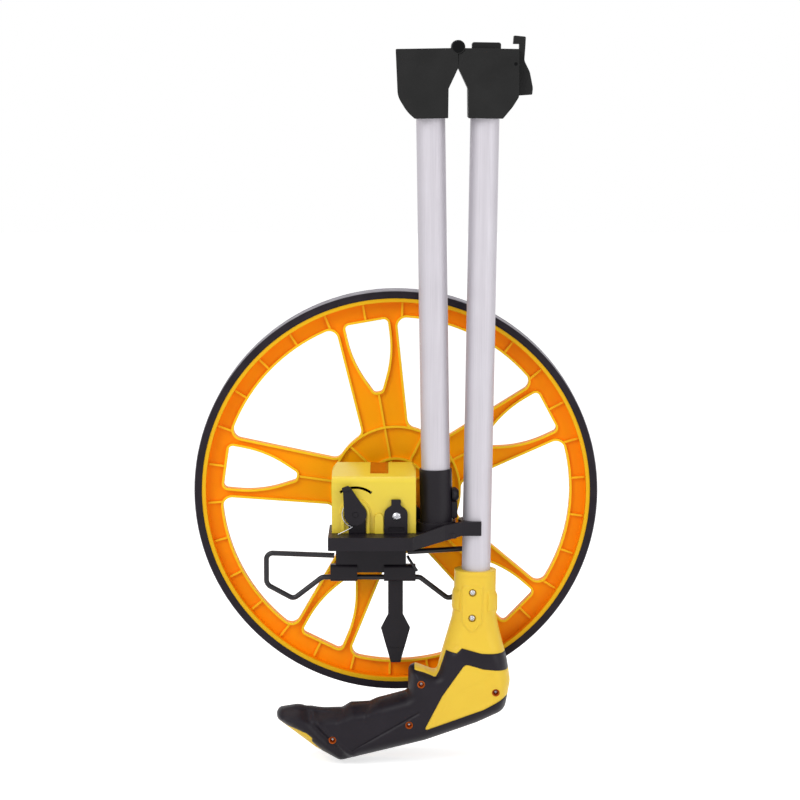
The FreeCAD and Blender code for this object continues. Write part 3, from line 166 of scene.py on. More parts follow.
def orange_wheel_plastic():
    """Orange polypropylene, injection moulded. Light passes through its thin lips, so they read
    yellow, and the recessed webs between them are a deeper orange towards the rim."""
    material, tree, shader = new_material("moulded_orange_polypropylene", IOR=1.49)
    place = add(tree, "TexCoord").outputs["Object"]
    radius, behind = from_axle(tree, place)
    side = add(tree, "Math", {0: behind}, operation="ABSOLUTE").outputs[0]
    flow = add(tree, "TexNoise", {"Vector": place, "Scale": 1 / (30 * MM), "Detail": 3.0})
    outward = add(tree, "MapRange", {"Value": radius, "From Min": 55 * MM, "From Max": 125 * MM})
    web = add(tree, "Mix", {0: outward.outputs["Result"], 6: colour("#FFAA00"),
                            7: colour("#FF9200")}, data_type="RGBA")
    drift = add(tree, "MapRange", {"Value": flow.outputs["Fac"], "From Min": 0.35,
                                   "From Max": 0.7, "To Max": 0.45})
    webs = add(tree, "Mix", {0: drift.outputs["Result"], 6: web.outputs[2],
                             7: colour("#FFA200")}, data_type="RGBA")
    # The webs' lips are yellow from 2.2 mm off the middle plane. On the rim's own wall, outside
    # 149 mm, only the outermost part of it is, from 8.5 mm.
    first = add(tree, "MapRange", {"Value": radius, "From Min": 149 * MM, "From Max": 150 * MM,
                                   "To Min": 2.2 * MM, "To Max": 8.5 * MM})
    last = add(tree, "Math", {0: first.outputs["Result"], 1: 2.0 * MM}, operation="ADD")
    raised = add(tree, "MapRange", {"Value": side, "From Min": first.outputs["Result"],
                                    "From Max": last.outputs[0]})
    thick = add(tree, "MapRange", {"Value": radius, "From Min": 148 * MM, "From Max": 150 * MM})
    lips = add(tree, "Mix", {0: thick.outputs["Result"], 6: colour("#FFCB22"),
                             7: colour("#EDB51A")}, data_type="RGBA")
    tone = add(tree, "Mix", {0: raised.outputs["Result"], 6: webs.outputs[2],
                             7: lips.outputs[2]}, data_type="RGBA")
    tree.links.new(tone.outputs[2], shader.inputs["Base Color"])
    peel = add(tree, "TexNoise", {"Vector": place, "Scale": 1 / (3 * MM), "Detail": 2.0})
    grained_surface(tree, shader, peel.outputs["Fac"], 0.04 * MM, 0.6 * MM, 0.34, 0.46)
    shader.inputs["Specular IOR Level"].default_value = 0.1
    shader.inputs["Subsurface Weight"].default_value = 0.06
    shader.inputs["Subsurface Radius"].default_value = (1.0, 0.45, 0.05)
    shader.inputs["Subsurface Scale"].default_value = 2 * MM
    return material


def moulded_tyre_rubber():
    """Black vulcanised rubber: matt side walls, and a tread painted pale grey, partly for bloom and
    dust and partly as a painted sheen of light grazing it from above. Its crumb, about 0.2 mm on
    the real one, is drawn at 0.9 mm so that it shows."""
    material, tree, shader = new_material("moulded_tyre_rubber", IOR=1.52)
    place = add(tree, "TexCoord").outputs["Object"]
    radius, _ = from_axle(tree, place)
    bloom = add(tree, "TexNoise", {"Vector": place, "Scale": 1 / (12 * MM), "Detail": 4.0})
    cloud = add(tree, "MapRange", {"Value": bloom.outputs["Fac"], "From Min": 0.35,
                                   "From Max": 0.7})
    wall = add(tree, "Mix", {0: cloud.outputs["Result"], 6: colour("#211C22"),
                             7: colour("#2A252B")}, data_type="RGBA")
    # Painted sheen: the tread's pale grey stands partly for dust and partly for light grazing it
    # from above.
    dust_and_sheen = add(tree, "Mix", {0: cloud.outputs["Result"], 6: colour("#8E8A90"),
                              7: colour("#A5A2A8")}, data_type="RGBA")
    # The wheel's radius and the axle's height are the same length here.
    tread = add(tree, "MapRange", {"Value": radius, "From Min": AXLE_HEIGHT - 0.7 * MM,
                                   "From Max": AXLE_HEIGHT - 0.2 * MM})
    tone = add(tree, "Mix", {0: tread.outputs["Result"], 6: wall.outputs[2],
                             7: dust_and_sheen.outputs[2]}, data_type="RGBA")
    tree.links.new(tone.outputs[2], shader.inputs["Base Color"])
    crumb = add(tree, "TexNoise", {"Vector": place, "Scale": 1 / (0.9 * MM), "Detail": 3.0})
    grained_surface(tree, shader, crumb.outputs["Fac"], 0.06 * MM, 0.5 * MM, 0.55, 0.72)
    shader.inputs["Specular IOR Level"].default_value = 0.12
    return material


def metal(name, base, pale, stretch, grain, rough, spread, edge):
    """A bare or plated metal, with marks of a real size that may run along the piece."""
    material, tree, shader = new_material(name, Metallic=1.0)
    place = add(tree, "TexCoord").outputs["Object"]
    along = add(tree, "Mapping", {"Vector": place, "Scale": stretch}).outputs["Vector"]
    marks = add(tree, "TexNoise", {"Vector": along, "Scale": 1 / grain, "Detail": 4.0})
    cloud = add(tree, "TexNoise", {"Vector": place, "Scale": 1 / (30 * MM), "Detail": 2.0})
    tone = add(tree, "Mix", {0: cloud.outputs["Fac"], 6: colour(base), 7: colour(pale)},
               data_type="RGBA")
    tree.links.new(tone.outputs[2], shader.inputs["Base Color"])
    grained_surface(tree, shader, marks.outputs["Fac"], 0.006 * MM, edge, rough, rough + spread)
    return material


def clear_polycarbonate():
    """Clear polycarbonate, moulded, with an amber tint: sharp reflections over a warm window."""
    material, tree, shader = new_material("clear_moulded_polycarbonate", IOR=1.58)
    place = add(tree, "TexCoord").outputs["Object"]
    ripple = add(tree, "TexNoise", {"Vector": place, "Scale": 1 / (6 * MM), "Detail": 2.0})
    tone = add(tree, "Mix", {0: ripple.outputs["Fac"], 6: colour("#FF9A1E"),
                             7: colour("#F88C14")}, data_type="RGBA")
    tree.links.new(tone.outputs[2], shader.inputs["Base Color"])
    grained_surface(tree, shader, ripple.outputs["Fac"], 0.02 * MM, 0.3 * MM, 0.03, 0.08,
                    span=(0.0, 1.0))
    shader.inputs["Transmission Weight"].default_value = 0.6
    return material


# ---------------------------------------------------------------- pieces

def finished_piece(name, mesh, place=GRIP_FRAME, sharp_angle=40):
    """A smooth-shaded object made from a bmesh, with the edges sharper than an angle kept."""
    data = bpy.data.meshes.new(name)
    mesh.to_mesh(data)
    mesh.free()
    data.shade_smooth()
    piece = bpy.data.objects.new(name, data)
    bpy.context.scene.collection.objects.link(piece)
    piece.matrix_world = place
    sharp = piece.modifiers.new("sharp_edges", "EDGE_SPLIT")
    sharp.split_angle = math.radians(sharp_angle)
    return piece


def fit(piece, finish, body):
    """Gives a piece its finish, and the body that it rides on."""
    piece.data.materials.append(finish)
    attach(piece, body)


# ---------------------------------------------------------------- grip

OUTLINE_STEP = 1.4
NEARLY_STRAIGHT = 1.56


def rounded_line(points):
    """A closed outline through (x, z, corner radius) points, in millimetres, as short steps."""
    outline = []
    total = len(points)
    for i, (x, z, radius) in enumerate(points):
        here = np.array([x, z], float)
        before = np.array(points[i - 1][:2]) - here
        after = np.array(points[(i + 1) % total][:2]) - here
        before /= np.linalg.norm(before)
        after /= np.linalg.norm(after)
        half = math.acos(float(np.clip(before @ after, -1, 1))) / 2
        if radius == 0 or half > NEARLY_STRAIGHT:
            outline.append(here)
            continue
        centre = here + (before + after) / np.linalg.norm(before + after) * radius / math.sin(half)
        start = here + before * radius / math.tan(half) - centre
        end = here + after * radius / math.tan(half) - centre
        first = math.atan2(start[1], start[0])
        sweep = (math.atan2(end[1], end[0]) - first + math.pi) % (2 * math.pi) - math.pi
        steps = max(2, int(abs(sweep) * radius / OUTLINE_STEP))
        for step in range(steps + 1):
            angle = first + sweep * step / steps
            outline.append(centre + radius * np.array([math.cos(angle), math.sin(angle)]))
    dense = []
    for i, here in enumerate(outline):
        following = outline[(i + 1) % len(outline)]
        gap = np.linalg.norm(following - here)
        if gap < 1e-6:
            continue
        pieces = max(1, int(round(gap / OUTLINE_STEP)))
        dense += [here + (following - here) * k / pieces for k in range(pieces)]
    return np.array(dense)


def runs_of(line, closed):
    """The straight runs of a polyline, each as its start and end."""
    return zip(line, np.roll(line, -1, axis=0) if closed else line[1:])


def stepped(line, spacing, closed=False):
    """A polyline's points with evenly spaced ones between them, but for its last point."""
    steps = []
    for start, end in runs_of(line, closed):
        count = max(1, int(math.hypot(*(end - start)) / spacing))
        steps += [start + (end - start) * k / count for k in range(count)]
    return steps


def distance_to(points, line, closed=True):
    """Distance of each point from a polyline."""
    best = np.full(len(points), 1e9)
    for start, end in runs_of(line, closed):
        along = end - start
        length = float(along @ along)
        if length < 1e-12:
            continue
        t = np.clip(((points - start) @ along) / length, 0, 1)
        best = np.minimum(best, np.linalg.norm(points - (start + t[:, None] * along), axis=1))
    return best


def is_inside(points, polygon):
    """Whether each point lies inside a closed polygon."""
    inside = np.zeros(len(points), bool)
    x, z = points[:, 0], points[:, 1]
    for (x0, z0), (x1, z1) in runs_of(polygon, True):
        crosses = (z0 > z) != (z1 > z)
        at = x0 + (z - z0) / (z1 - z0 if z1 != z0 else 1e-9) * (x1 - x0)
        inside ^= crosses & (x < at)
    return inside


# The grip's outline from the tube's centreline at the collar's top, in millimetres. The first
# two points stand above the collar, which is cut off flat at its top.
GRIP_OUTLINE = [
    (15.6, 40, 0), (-16.6, 40, 0), (-16.9, -14.5, 1.5), (-18.2, -17.5, 1.5), (-18.6, -29, 1.5),
    (-17.7, -32.5, 1.5), (-18.4, -38, 10), (-24.9, -62, 30),
    (-29.8, -81.5, 3), (-46.2, -75.8, 3), (-51.5, -78.4, 4), (-51.7, -97.6, 4), (-75.0, -104.2, 5),
    (-81.5, -107.2, 2), (-96.5, -108.2, 3), (-103, -112.4, 3), (-118, -112.9, 30),
    (-138, -110.4, 12), (-154.5, -113.4, 5),
    (-154, -121, 5), (-123.5, -143.4, 20), (-104, -154.0, 8), (-37.5, -136.6, 60),
    (3, -121.8, 30), (24.5, -111.5, 12), (28.4, -88, 20), (25.5, -71, 20), (18.4, -45.5, 20),
    (16.3, -35, 3), (17.3, -32, 1.5), (17.2, -20.5, 1.5), (15.7, -17, 1.5)]
COLLAR_TOP = np.array([(-60.0, 0), (60, 0)])
COLLAR_BAND = np.array([(-60, -62.6), (-22.8, -62.6), (-14.1, -64.1), (-10.2, -60.2),
                        (5.3, -64.2), (60, -64.3)])
PANEL = [(-39.0, -126.2, 1.2), (-24.9, -97.9, 10), (-7.5, -72.2, 4), (6.9, -76.2, 6),
         (60, -80, 0), (60, -98, 0), (26.7, -97.8, 4), (7.5, -108.6, 8)]
END_PIECE = [(-170, -121.5, 0), (-151, -121.5, 0), (-146, -124.5, 3), (-138.5, -126.4, 4),
             (-130, -129.6, 4), (-125.6, -133.2, 2), (-125.8, -136.5, 1.5), (-123.4, -139.0, 2),
             (-119, -143.5, 0), (-119, -170, 0), (-170, -170, 0)]
# The collar runs on down the front of the grip and along the top of its stub, and the side
# panel runs on along the grip's lower edge.
COLLAR_TAIL = [(-30, -58, 0), (-13, -58, 0), (-22.4, -62.9, 0), (-27.6, -79.8, 1.5),
               (-30.2, -84.2, 2), (-39, -80.9, 6), (-46.8, -78.6, 0), (-46.8, -70, 0)]
LOWER_LINE = [(-6, -124.6, 0), (4, -120.2, 0), (19.5, -113.0, 0), (24, -110.5, 0),
              (30, -116, 0), (0, -130, 0)]
SHIELD = [(-10.4, -12, 1), (4.8, -12, 1), (4.6, -39.5, 3), (-2.7, -48.5, 2), (-10.0, -39.5, 3)]
COLLAR_SCREWS = [(-2.7, -16.5), (-2.7, -36.6)]
RUBBER_CREASE = np.array([[-95.4, -143.5], [-70.0, -128.2], [-42.1, -111.4]])
# The valley before the rubber's end lobe, and the ridge beside it.
RUBBER_VALLEY = np.array([[-131.0, -113.5], [-128.0, -120.0], [-120.0, -129.0],
                          [-100.5, -147.5]])
RUBBER_RIDGE = np.array([[-125.0, -117.0], [-112.0, -131.0], [-93.0, -148.0]])
PANEL_GROOVES = (np.array([(-22.0, -104.0), (-30.0, -121.0)]),
                 np.array([(-12.0, -96.0), (13.0, -82.0)]))
# The top edge of the long facet on the fingers' side, and its ledges: place and run.
FACET_LINE = np.array([[-139.0, -119.0], [-122.0, -123.5], [-100.0, -121.0], [-60.0, -106.0],
                       [-40.0, -96.0]])
LEDGES = ((-101.0, -112.0, 12.0), (-80.0, -107.0, 11.0))
END_DISH = (-128, -113)
COLLAR_SCREW_RADIUS = 2.45
# How far the rim of a screw's head stands above the floor of its hole.
COLLAR_SCREW_RIM = 0.9
GRIP_SCREW_RIM = 1.2
GRIP_SCREWS = [(-41.4, -89.0), (-50.3, -121.5), (-109.8, -134.2), (16.7, -94.6)]
GRIP_SCREW_SKINS = ["rubber", "rubber", "rubber", "panel"]
GRIP_SCREW_RADIUS = 1.3
SCREW_HOLE = 3.0
# A second ring of points, this far outside each hole's rim, keeps the triangles there even.
HOLE_RING = 0.7
HOLE_DEPTH = {"collar": 2.2, "panel": 4.6, "rubber": 4.6}


def smooth_step(value, low, high):
    """0 below low, 1 above high, eased between."""
    t = np.clip((value - low) / (high - low), 0, 1)
    return t * t * (3 - 2 * t)


def half_depth(points, outline, kind):
    """Half the grip's thickness over points of its front view, in millimetres."""
    x, z = points[:, 0], points[:, 1]
    edge = distance_to(points, outline)
    # A rounded slab, slimmer at the collar and fuller in the hand.
    fullness = 14.2 + 3.4 * smooth_step(-z, 44, 72)
    roundness = 13.0 - 2.0 * smooth_step(-z, 50, 80)
    depth = fullness * np.sqrt(np.clip(1 - (1 - np.clip(edge / roundness, 0, 1)) ** 2, 0, 1))
    # The fingers' side of the long handle falls away in a long facet with two ledges.
    above = np.interp(x, FACET_LINE[:, 0], FACET_LINE[:, 1])
    fall = smooth_step(z - above, 0, 12) * smooth_step(-x, 44, 58)
    depth -= 4.2 * fall * smooth_step(edge, 0, 3)
    for ledge_x, ledge_z, run in LEDGES:
        along = (x - ledge_x) - 0.45 * (z - ledge_z)
        behind = smooth_step(along, -0.9, 0.4) * (1 - smooth_step(along, 0.4, run))
        near_top = smooth_step(z, ledge_z - 14, ledge_z - 6)
        depth += 2.3 * behind * near_top * smooth_step(edge, 0, 2.5)
    # The far end's top is dished.
    dish = np.hypot((x - END_DISH[0]) / 20, (z - END_DISH[1]) / 8)
    depth -= 2.6 * (1 - smooth_step(dish, 0.5, 1.1)) * smooth_step(edge, 0, 2)
    if kind == "rubber":
        # The rubber stands proud of the hard shell, with a crease, a valley and a ridge in it.
        depth += 0.5 * smooth_step(edge, 0.3, 2)
        depth -= 1.3 * (1 - smooth_step(distance_to(points, RUBBER_CREASE, False), 0.1, 1.5))
        depth -= 2.4 * (1 - smooth_step(distance_to(points, RUBBER_VALLEY, False), 0.4, 4.5))
        depth += 1.1 * (1 - smooth_step(distance_to(points, RUBBER_RIDGE, False), 0.3, 3.0))
    if kind == "collar":
        # A raised rim round the shield, a tab on each side, and a lip round the top.
        shield = rounded_line(SHIELD)
        rise = 0.95 * (1 - smooth_step(distance_to(points, shield), 0.3, 1.1))
        rise = np.maximum(rise, 0.45 * is_inside(points, shield))
        tabs = smooth_step(-z, 15.5, 16.5) * (1 - smooth_step(-z, 30.5, 32.0)) \
            * smooth_step(np.abs(x + 1.6), 10.6, 11.4)
        lip = smooth_step(z, -4.5, -3.0) * (1 - smooth_step(z, -1.6, 0.0))
        depth += rise + 1.5 * tabs * smooth_step(edge, 0, 1) + 0.5 * lip * smooth_step(edge, 0, 2)
    if kind == "panel":
        for groove in PANEL_GROOVES:
            depth -= 0.4 * (1 - smooth_step(distance_to(points, groove, False), 0.2, 1.2))
    return np.clip(depth, 0, None)


def circle_points(centre, radius, count):
    """Points round a circle in the front view."""
    x, z = centre
    turns = [2 * math.pi * k / count for k in range(count)]
    return [np.array([x + radius * math.cos(t), z + radius * math.sin(t)]) for t in turns]


def grip_sheets():
    """The grip's front view as triangles, split by its outline, bands, panel and screw holes."""
    outline = rounded_line(GRIP_OUTLINE)
    panel = rounded_line(PANEL)
    end_piece = rounded_line(END_PIECE)
    tail = rounded_line(COLLAR_TAIL)
    lower = rounded_line(LOWER_LINE)
    points, edges = [], []

    def constrain(line, closed=True):
        """Keep a line's runs as edges of the triangles."""
        first = len(points)
        points.extend(line)
        count = len(line)
        edges.extend((first + k, first + (k + 1) % count) for k in range(count - (not closed)))

    for line in (outline, panel, end_piece, tail, lower):
        constrain(line)
    constrain(COLLAR_TOP, False)
    band = stepped(COLLAR_BAND, OUTLINE_STEP)
    constrain(band + [COLLAR_BAND[-1]], False)
    holes = COLLAR_SCREWS + GRIP_SCREWS
    for centre in holes:
        constrain(circle_points(centre, SCREW_HOLE, 20))
        constrain(circle_points(centre, SCREW_HOLE + HOLE_RING, 24))
    # A staggered grid fills the rest, finer over the collar, and keeps clear of the lines.
    grid = []
    for low, high, step in ((-160, -52, 1.3), (-52, 0, 0.75)):
        for row, z in enumerate(np.arange(low, high, step)):
            for x in np.arange(-158 if low < -100 else -26, 32, step * 1.13):
                grid.append((x + 0.56 * step * (row % 2), z))
    grid = np.array(grid)
    keep = is_inside(grid, outline) & (distance_to(grid, outline) > 0.55)
    hole_clearance = SCREW_HOLE + 1.3
    for line, closed in ((RUBBER_CREASE, False), (RUBBER_VALLEY, False), (RUBBER_RIDGE, False),
                         (rounded_line(SHIELD), True)):
        keep &= distance_to(grid, line, closed) > 0.45
        points.extend(point for point in stepped(line, 1.2, closed)
                      if min(np.hypot(*(point - centre)) for centre in holes) > hole_clearance)
    for line, closed in ((panel, True), (end_piece, True), (tail, True), (lower, True),
                         (np.array(band), False)):
        keep &= distance_to(grid, line, closed) > 0.7
    for centre in holes:
        keep &= np.hypot(*(grid - centre).T) > hole_clearance
    for inset in (0.35, 0.9, 1.8):
        points.extend(offset_inwards(outline, inset))
    points.extend(grid[keep])
    flat = [Vector((float(x), float(z))) for x, z in points]
    made = delaunay_2d_cdt(flat, edges, [], 0, 1e-4)
    corners = np.array([(v.x, v.y) for v in made[0]])
    faces = np.array(made[2])
    middles = corners[faces].mean(axis=1)
    on = is_inside(middles, outline) & (middles[:, 1] < 0)
    in_collar = middles[:, 1] > np.interp(middles[:, 0], *COLLAR_BAND.T)
    in_collar |= is_inside(middles, tail)
    in_panel = (is_inside(middles, panel) | is_inside(middles, lower)) & ~in_collar
    in_end = is_inside(middles, end_piece)
    hole = np.zeros(len(middles), bool)
    for centre in holes:
        hole |= np.hypot(*(middles - centre).T) < SCREW_HOLE * 0.99
    sheets = {
        "collar": on & in_collar,
        "panel": on & in_panel,
        "end": on & in_end & ~in_collar,
        "rubber": on & ~in_collar & ~in_panel & ~in_end}
    seams = [(panel, True), (end_piece, True), (COLLAR_BAND, False), (tail, True), (lower, True)]
    return corners, faces, hole, sheets, outline, seams


def offset_inwards(outline, inset):
    """Points moved in from the outline along its normal, where there is room."""
    tangent = np.roll(outline, -1, axis=0) - np.roll(outline, 1, axis=0)
    tangent /= np.linalg.norm(tangent, axis=1)[:, None]
    normal = np.stack([-tangent[:, 1], tangent[:, 0]], axis=1)
    moved = outline + normal * inset
    if is_inside(moved, outline).mean() <= 0.5:
        moved = outline - normal * inset
    good = is_inside(moved, outline) & (distance_to(moved, outline) > inset * 0.8)
    return list(moved[good])


SEAM_DEPTH = 0.5
SEAM_WIDTH = 0.9
THINNEST = 0.02


def solid_from_sheet(name, corners, faces, chosen, hole, kind, outline, seams):
    """A closed piece: the sheet's front and back surfaces, joined by walls along its edges."""
    used = np.unique(faces[chosen])
    slot = {int(v): k for k, v in enumerate(used)}
    points = corners[used]
    depth = half_depth(points, outline, kind)
    seam = np.full(len(points), 1e9)
    for line, closed in seams:
        seam = np.minimum(seam, distance_to(points, line, closed))
    groove = SEAM_DEPTH * (1 - smooth_step(seam, 0.0, SEAM_WIDTH)) * (depth > 1)
    depth = np.clip(depth - groove, 0, None)
    mesh = bmesh.new()
    front, back = [], []
    for (x, z), d in zip(points, depth):
        near = mesh.verts.new((x * MM, -d * MM, z * MM))
        front.append(near)
        back.append(near if d < THINNEST else mesh.verts.new((x * MM, d * MM, z * MM)))
    floors = {}
    for v in (int(v) for v in np.unique(faces[chosen & hole])):
        x, z = points[slot[v]]
        floor = depth[slot[v]] - HOLE_DEPTH[kind]
        floors[v] = mesh.verts.new((x * MM, -floor * MM, z * MM))

    def face(verts):
        """A face through corners that may coincide."""
        unique = list(dict.fromkeys(verts))
        if len(unique) > 2 and not mesh.faces.get(unique):
            mesh.faces.new(unique)

    sides = {}
    for index in np.nonzero(chosen)[0]:
        a, b, c = (int(v) for v in faces[index])
        for first, second in ((a, b), (b, c), (c, a)):
            key = (min(first, second), max(first, second))
            sides.setdefault(key, []).append((first, second, bool(hole[index])))
        if hole[index]:
            face([floors[a], floors[b], floors[c]])
        else:
            face([front[slot[a]], front[slot[b]], front[slot[c]]])
        face([back[slot[c]], back[slot[b]], back[slot[a]]])
    # An edge with one triangle gets an outside wall, and one at a hole's rim the hole's wall.
    for uses in sides.values():
        a, b, _ = uses[0]
        if len(uses) == 1:
            face([front[slot[b]], front[slot[a]], back[slot[a]], back[slot[b]]])
        elif uses[0][2] != uses[1][2]:
            a, b, _ = uses[0] if not uses[0][2] else uses[1]
            face([front[slot[b]], front[slot[a]], floors[a], floors[b]])
    bmesh.ops.recalc_face_normals(mesh, faces=mesh.faces)
    return finished_piece(name, mesh, sharp_angle=48)


def grip_depth_at(place, kind):
    """Half the grip's thickness at one place, in millimetres."""
    outline = rounded_line(GRIP_OUTLINE)
    return float(half_depth(np.array([place]), outline, kind)[0])


# A screw head's parts, as fractions of its radius.
CROWN_HEIGHT = 0.34
RECESS_DEPTH = 0.3
CROSS_HALF_WIDTH = 0.17
CROSS_REACH = 0.62
SLOT_HALF_WIDTH = 0.13
# How far a head's side runs back from its rim, in millimetres.
HEAD_SKIRT = 1.0
HEAD_RINGS = 9
HEAD_STEPS = 48
WELL_STEPS = 32


def screw_heads(name, places, radius, fronts, slot_turn=None, place=GRIP_FRAME):
    """Pan-head screws facing the front, each with its rim at a depth. The recess is a cross,
    or one straight slot at a turn."""
    mesh = bmesh.new()
    rings = [radius * k / HEAD_RINGS for k in range(1, HEAD_RINGS + 1)]
    turns = [2 * math.pi * k / HEAD_STEPS for k in range(HEAD_STEPS)]

    def crown(x, z):
        """How far the head stands out from its rim."""
        across = min(abs(x), abs(z))
        along = max(abs(x), abs(z))
        recessed = across < CROSS_HALF_WIDTH * radius and along < CROSS_REACH * radius
        if slot_turn is not None:
            off_slot = abs(z * math.cos(slot_turn) - x * math.sin(slot_turn))
            recessed = off_slot < SLOT_HALF_WIDTH * radius
        dome = CROWN_HEIGHT * radius * (1 - (math.hypot(x, z) / radius) ** 2.4)
        return dome - (RECESS_DEPTH * radius if recessed else 0)

    for (cx, cz), front in zip(places, fronts):
        middle = mesh.verts.new((cx * MM, (-front - crown(0, 0)) * MM, cz * MM))
        loops = []
        for ring in rings:
            loop = []
            for turn in turns:
                x, z = ring * math.cos(turn), ring * math.sin(turn)
                loop.append(mesh.verts.new(((cx + x) * MM, (-front - crown(x, z)) * MM,
                                            (cz + z) * MM)))
            loops.append(loop)
        loops.append([mesh.verts.new((v.co.x, (-front + HEAD_SKIRT) * MM, v.co.z))
                      for v in loops[-1]])
        for k in range(HEAD_STEPS):
            after = (k + 1) % HEAD_STEPS
            mesh.faces.new((middle, loops[0][k], loops[0][after]))
            for inner, outer in zip(loops, loops[1:]):
                mesh.faces.new((inner[k], outer[k], outer[after], inner[after]))
        mesh.faces.new(loops[-1])
    bmesh.ops.recalc_face_normals(mesh, faces=mesh.faces)
    return finished_piece(name, mesh, place)


def screw_wells(name, places, fronts, depth):
    """The inner shell's round wells, which show through the outer skin at each screw."""
    mesh = bmesh.new()
    outer, inner = SCREW_HOLE - 0.05, SCREW_HOLE - 0.75
    for centre, front in zip(places, fronts):
        top, floor, base = front - 0.5, front - depth + 0.4, front - depth + 0.05
        loops = []
        for reach, y in ((outer, top), (inner, top), (inner, floor), (0, floor), (0, base),
                         (outer, base)):
            ring = circle_points(centre, reach, WELL_STEPS) if reach else [centre]
            loops.append([mesh.verts.new((x * MM, -y * MM, z * MM)) for x, z in ring])
        for first, second in zip(loops, loops[1:] + loops[:1]):
            for k in range(WELL_STEPS):
                corners = [first[k % len(first)], second[k % len(second)],
                           second[(k + 1) % len(second)], first[(k + 1) % len(first)]]
                unique = list(dict.fromkeys(corners))
                if len(unique) > 2:
                    mesh.faces.new(unique)
    bmesh.ops.recalc_face_normals(mesh, faces=mesh.faces)
    return finished_piece(name, mesh)


def make_grip(rubber, yellow, well_shade, steel):
    """Yellow collar, side panel and end piece, and the black rubber between them."""
    corners, faces, hole, sheets, outline, seams = grip_sheets()
    pieces = {}
    for kind, name in (("collar", "grip_collar"), ("panel", "grip_side_panel"),
                       ("end", "grip_end_corner"), ("rubber", "grip_rubber")):
        pieces[kind] = solid_from_sheet(name, corners, faces, sheets[kind], hole, kind, outline,
                                        seams)
        finish, slot = (rubber, "grip_rubber") if kind == "rubber" else (yellow, "grip_plastic")
        fit(pieces[kind], finish, "upper_arm")
    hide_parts("grip_shell_front", "grip_shell_back")
    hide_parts("grip_overmould_front", "grip_overmould_back")
    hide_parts("grip_end_piece")

    fronts = [grip_depth_at(place, "collar") for place in COLLAR_SCREWS]
    heads = screw_heads("collar_screw_heads", COLLAR_SCREWS, COLLAR_SCREW_RADIUS,
                        [front - HOLE_DEPTH["collar"] + COLLAR_SCREW_RIM for front in fronts])
    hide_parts("collar_screws")
    depth = HOLE_DEPTH["rubber"]
    fronts = [grip_depth_at(place, skin) for place, skin in zip(GRIP_SCREWS, GRIP_SCREW_SKINS)]
    deep_heads = screw_heads("grip_screw_heads", GRIP_SCREWS, GRIP_SCREW_RADIUS,
                             [front - depth + GRIP_SCREW_RIM for front in fronts])
    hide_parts("grip_screws")
    wells = screw_wells("grip_screw_wells", GRIP_SCREWS, fronts, depth)
    fit(heads, steel, "upper_arm")
    fit(deep_heads, steel, "upper_arm")
    # The wells' finish is painted shade: orange-brown for the yellow plastic deep in the holes.
    fit(wells, well_shade, "upper_arm")


# ---------------------------------------------------------------- drum digits

DIGIT_HEIGHT = 3.4 * MM
DIGIT_THICKNESS = 0.04 * MM
DIGIT_LIFT = 0.03 * MM
DIGIT_SPACING = math.radians(36)
DRUM_STAGGER = math.radians(11)


def make_digits(number, ink):
    """The figures 0 to 9 round one number drum, standing a hair above its face."""
    # The first drum carries a gear too, so its radius and width come from the second's.
    low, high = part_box("drum_2")
    radius = (high.x - low.x) / 2
    width = high.y - low.y
    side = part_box(f"drum_{number}")[0].y
    centre = Vector(((high.x + low.x) / 2, side + width / 2, (high.z + low.z) / 2))
    mesh = bmesh.new()
    for digit in range(10):
        curve = bpy.data.curves.new("digit", "FONT")
        curve.body = str(digit)
        curve.size = DIGIT_HEIGHT
        curve.align_x = "CENTER"
        curve.align_y = "CENTER"
        curve.extrude = DIGIT_THICKNESS
        curve.resolution_u = 3
        figure = bpy.data.objects.new("digit", curve)
        bpy.context.scene.collection.objects.link(figure)
        bpy.context.view_layer.update()
        data = bpy.data.meshes.new_from_object(figure)
        turn = DIGIT_SPACING * digit + DRUM_STAGGER * number
        for vert in data.vertices:
            angle = turn + vert.co.y / radius
            reach = radius + DIGIT_LIFT + vert.co.z
            vert.co = centre + Vector((-reach * math.sin(angle), vert.co.x,
                                       reach * math.cos(angle)))
        mesh.from_mesh(data)
        bpy.data.objects.remove(figure)
        bpy.data.curves.remove(curve)
        bpy.data.meshes.remove(data)
    piece = finished_piece(f"drum_{number}_digits", mesh, Matrix())
    fit(piece, ink, f"drum_{number}")


# ---------------------------------------------------------------- counter details

# Places in front view, (x, z), and depths towards the front, in millimetres.
LEVER_PIVOT = (-31.1, 150.2)
CASE_FACE = 62.2
LEVER_CAP = [(-41.6, 171.0), (-36.4, 172.9), (-34.6, 169.9), (-35.2, 168.6), (-40.6, 168.0)]
ARCH_OUTSIDE = (10.9, 11.2)
ARCH_INSIDE = (8.6, 8.9)
ARCH_FOOT = 134.8
SPRING_RADIUS = 10.2
SPRING_TURN = (math.radians(145), math.radians(232))
SPRING_TAIL = [(-36.3, 65.4, 141.6), (-34.6, 67.6, 141.4), (-33.2, 67.8, 140.8),
               (-38.0, 67.8, 138.2), (-44.6, 67.8, 135.0)]
COVER_SCREW = (0.6, 148.1)
STAND_LEG = [(9.4, 24.5, 109.6), (10.2, 27.2, 108.4), (13.2, 27.6, 103.8), (16.7, 27.6, 98.6)]
WIRE_STEPS = 10


def flat_block(name, outline, front, back, edge):
    """A block with a front-view outline in millimetres, between two depths, its edges rounded."""
    mesh = bmesh.new()
    near = [mesh.verts.new((x * MM, -front * MM, z * MM)) for x, z in outline]
    far = [mesh.verts.new((x * MM, -back * MM, z * MM)) for x, z in outline]
    mesh.faces.new(near)
    mesh.faces.new(far[::-1])
    for k in range(len(outline)):
        following = (k + 1) % len(outline)
        mesh.faces.new((near[k], far[k], far[following], near[following]))
    bmesh.ops.recalc_face_normals(mesh, faces=mesh.faces)
    piece = finished_piece(name, mesh, Matrix())
    rounding = piece.modifiers.new("rounded_edges", "BEVEL")
    rounding.width = edge * MM
    rounding.segments = 3
    piece.modifiers.move(1, 0)
    return piece


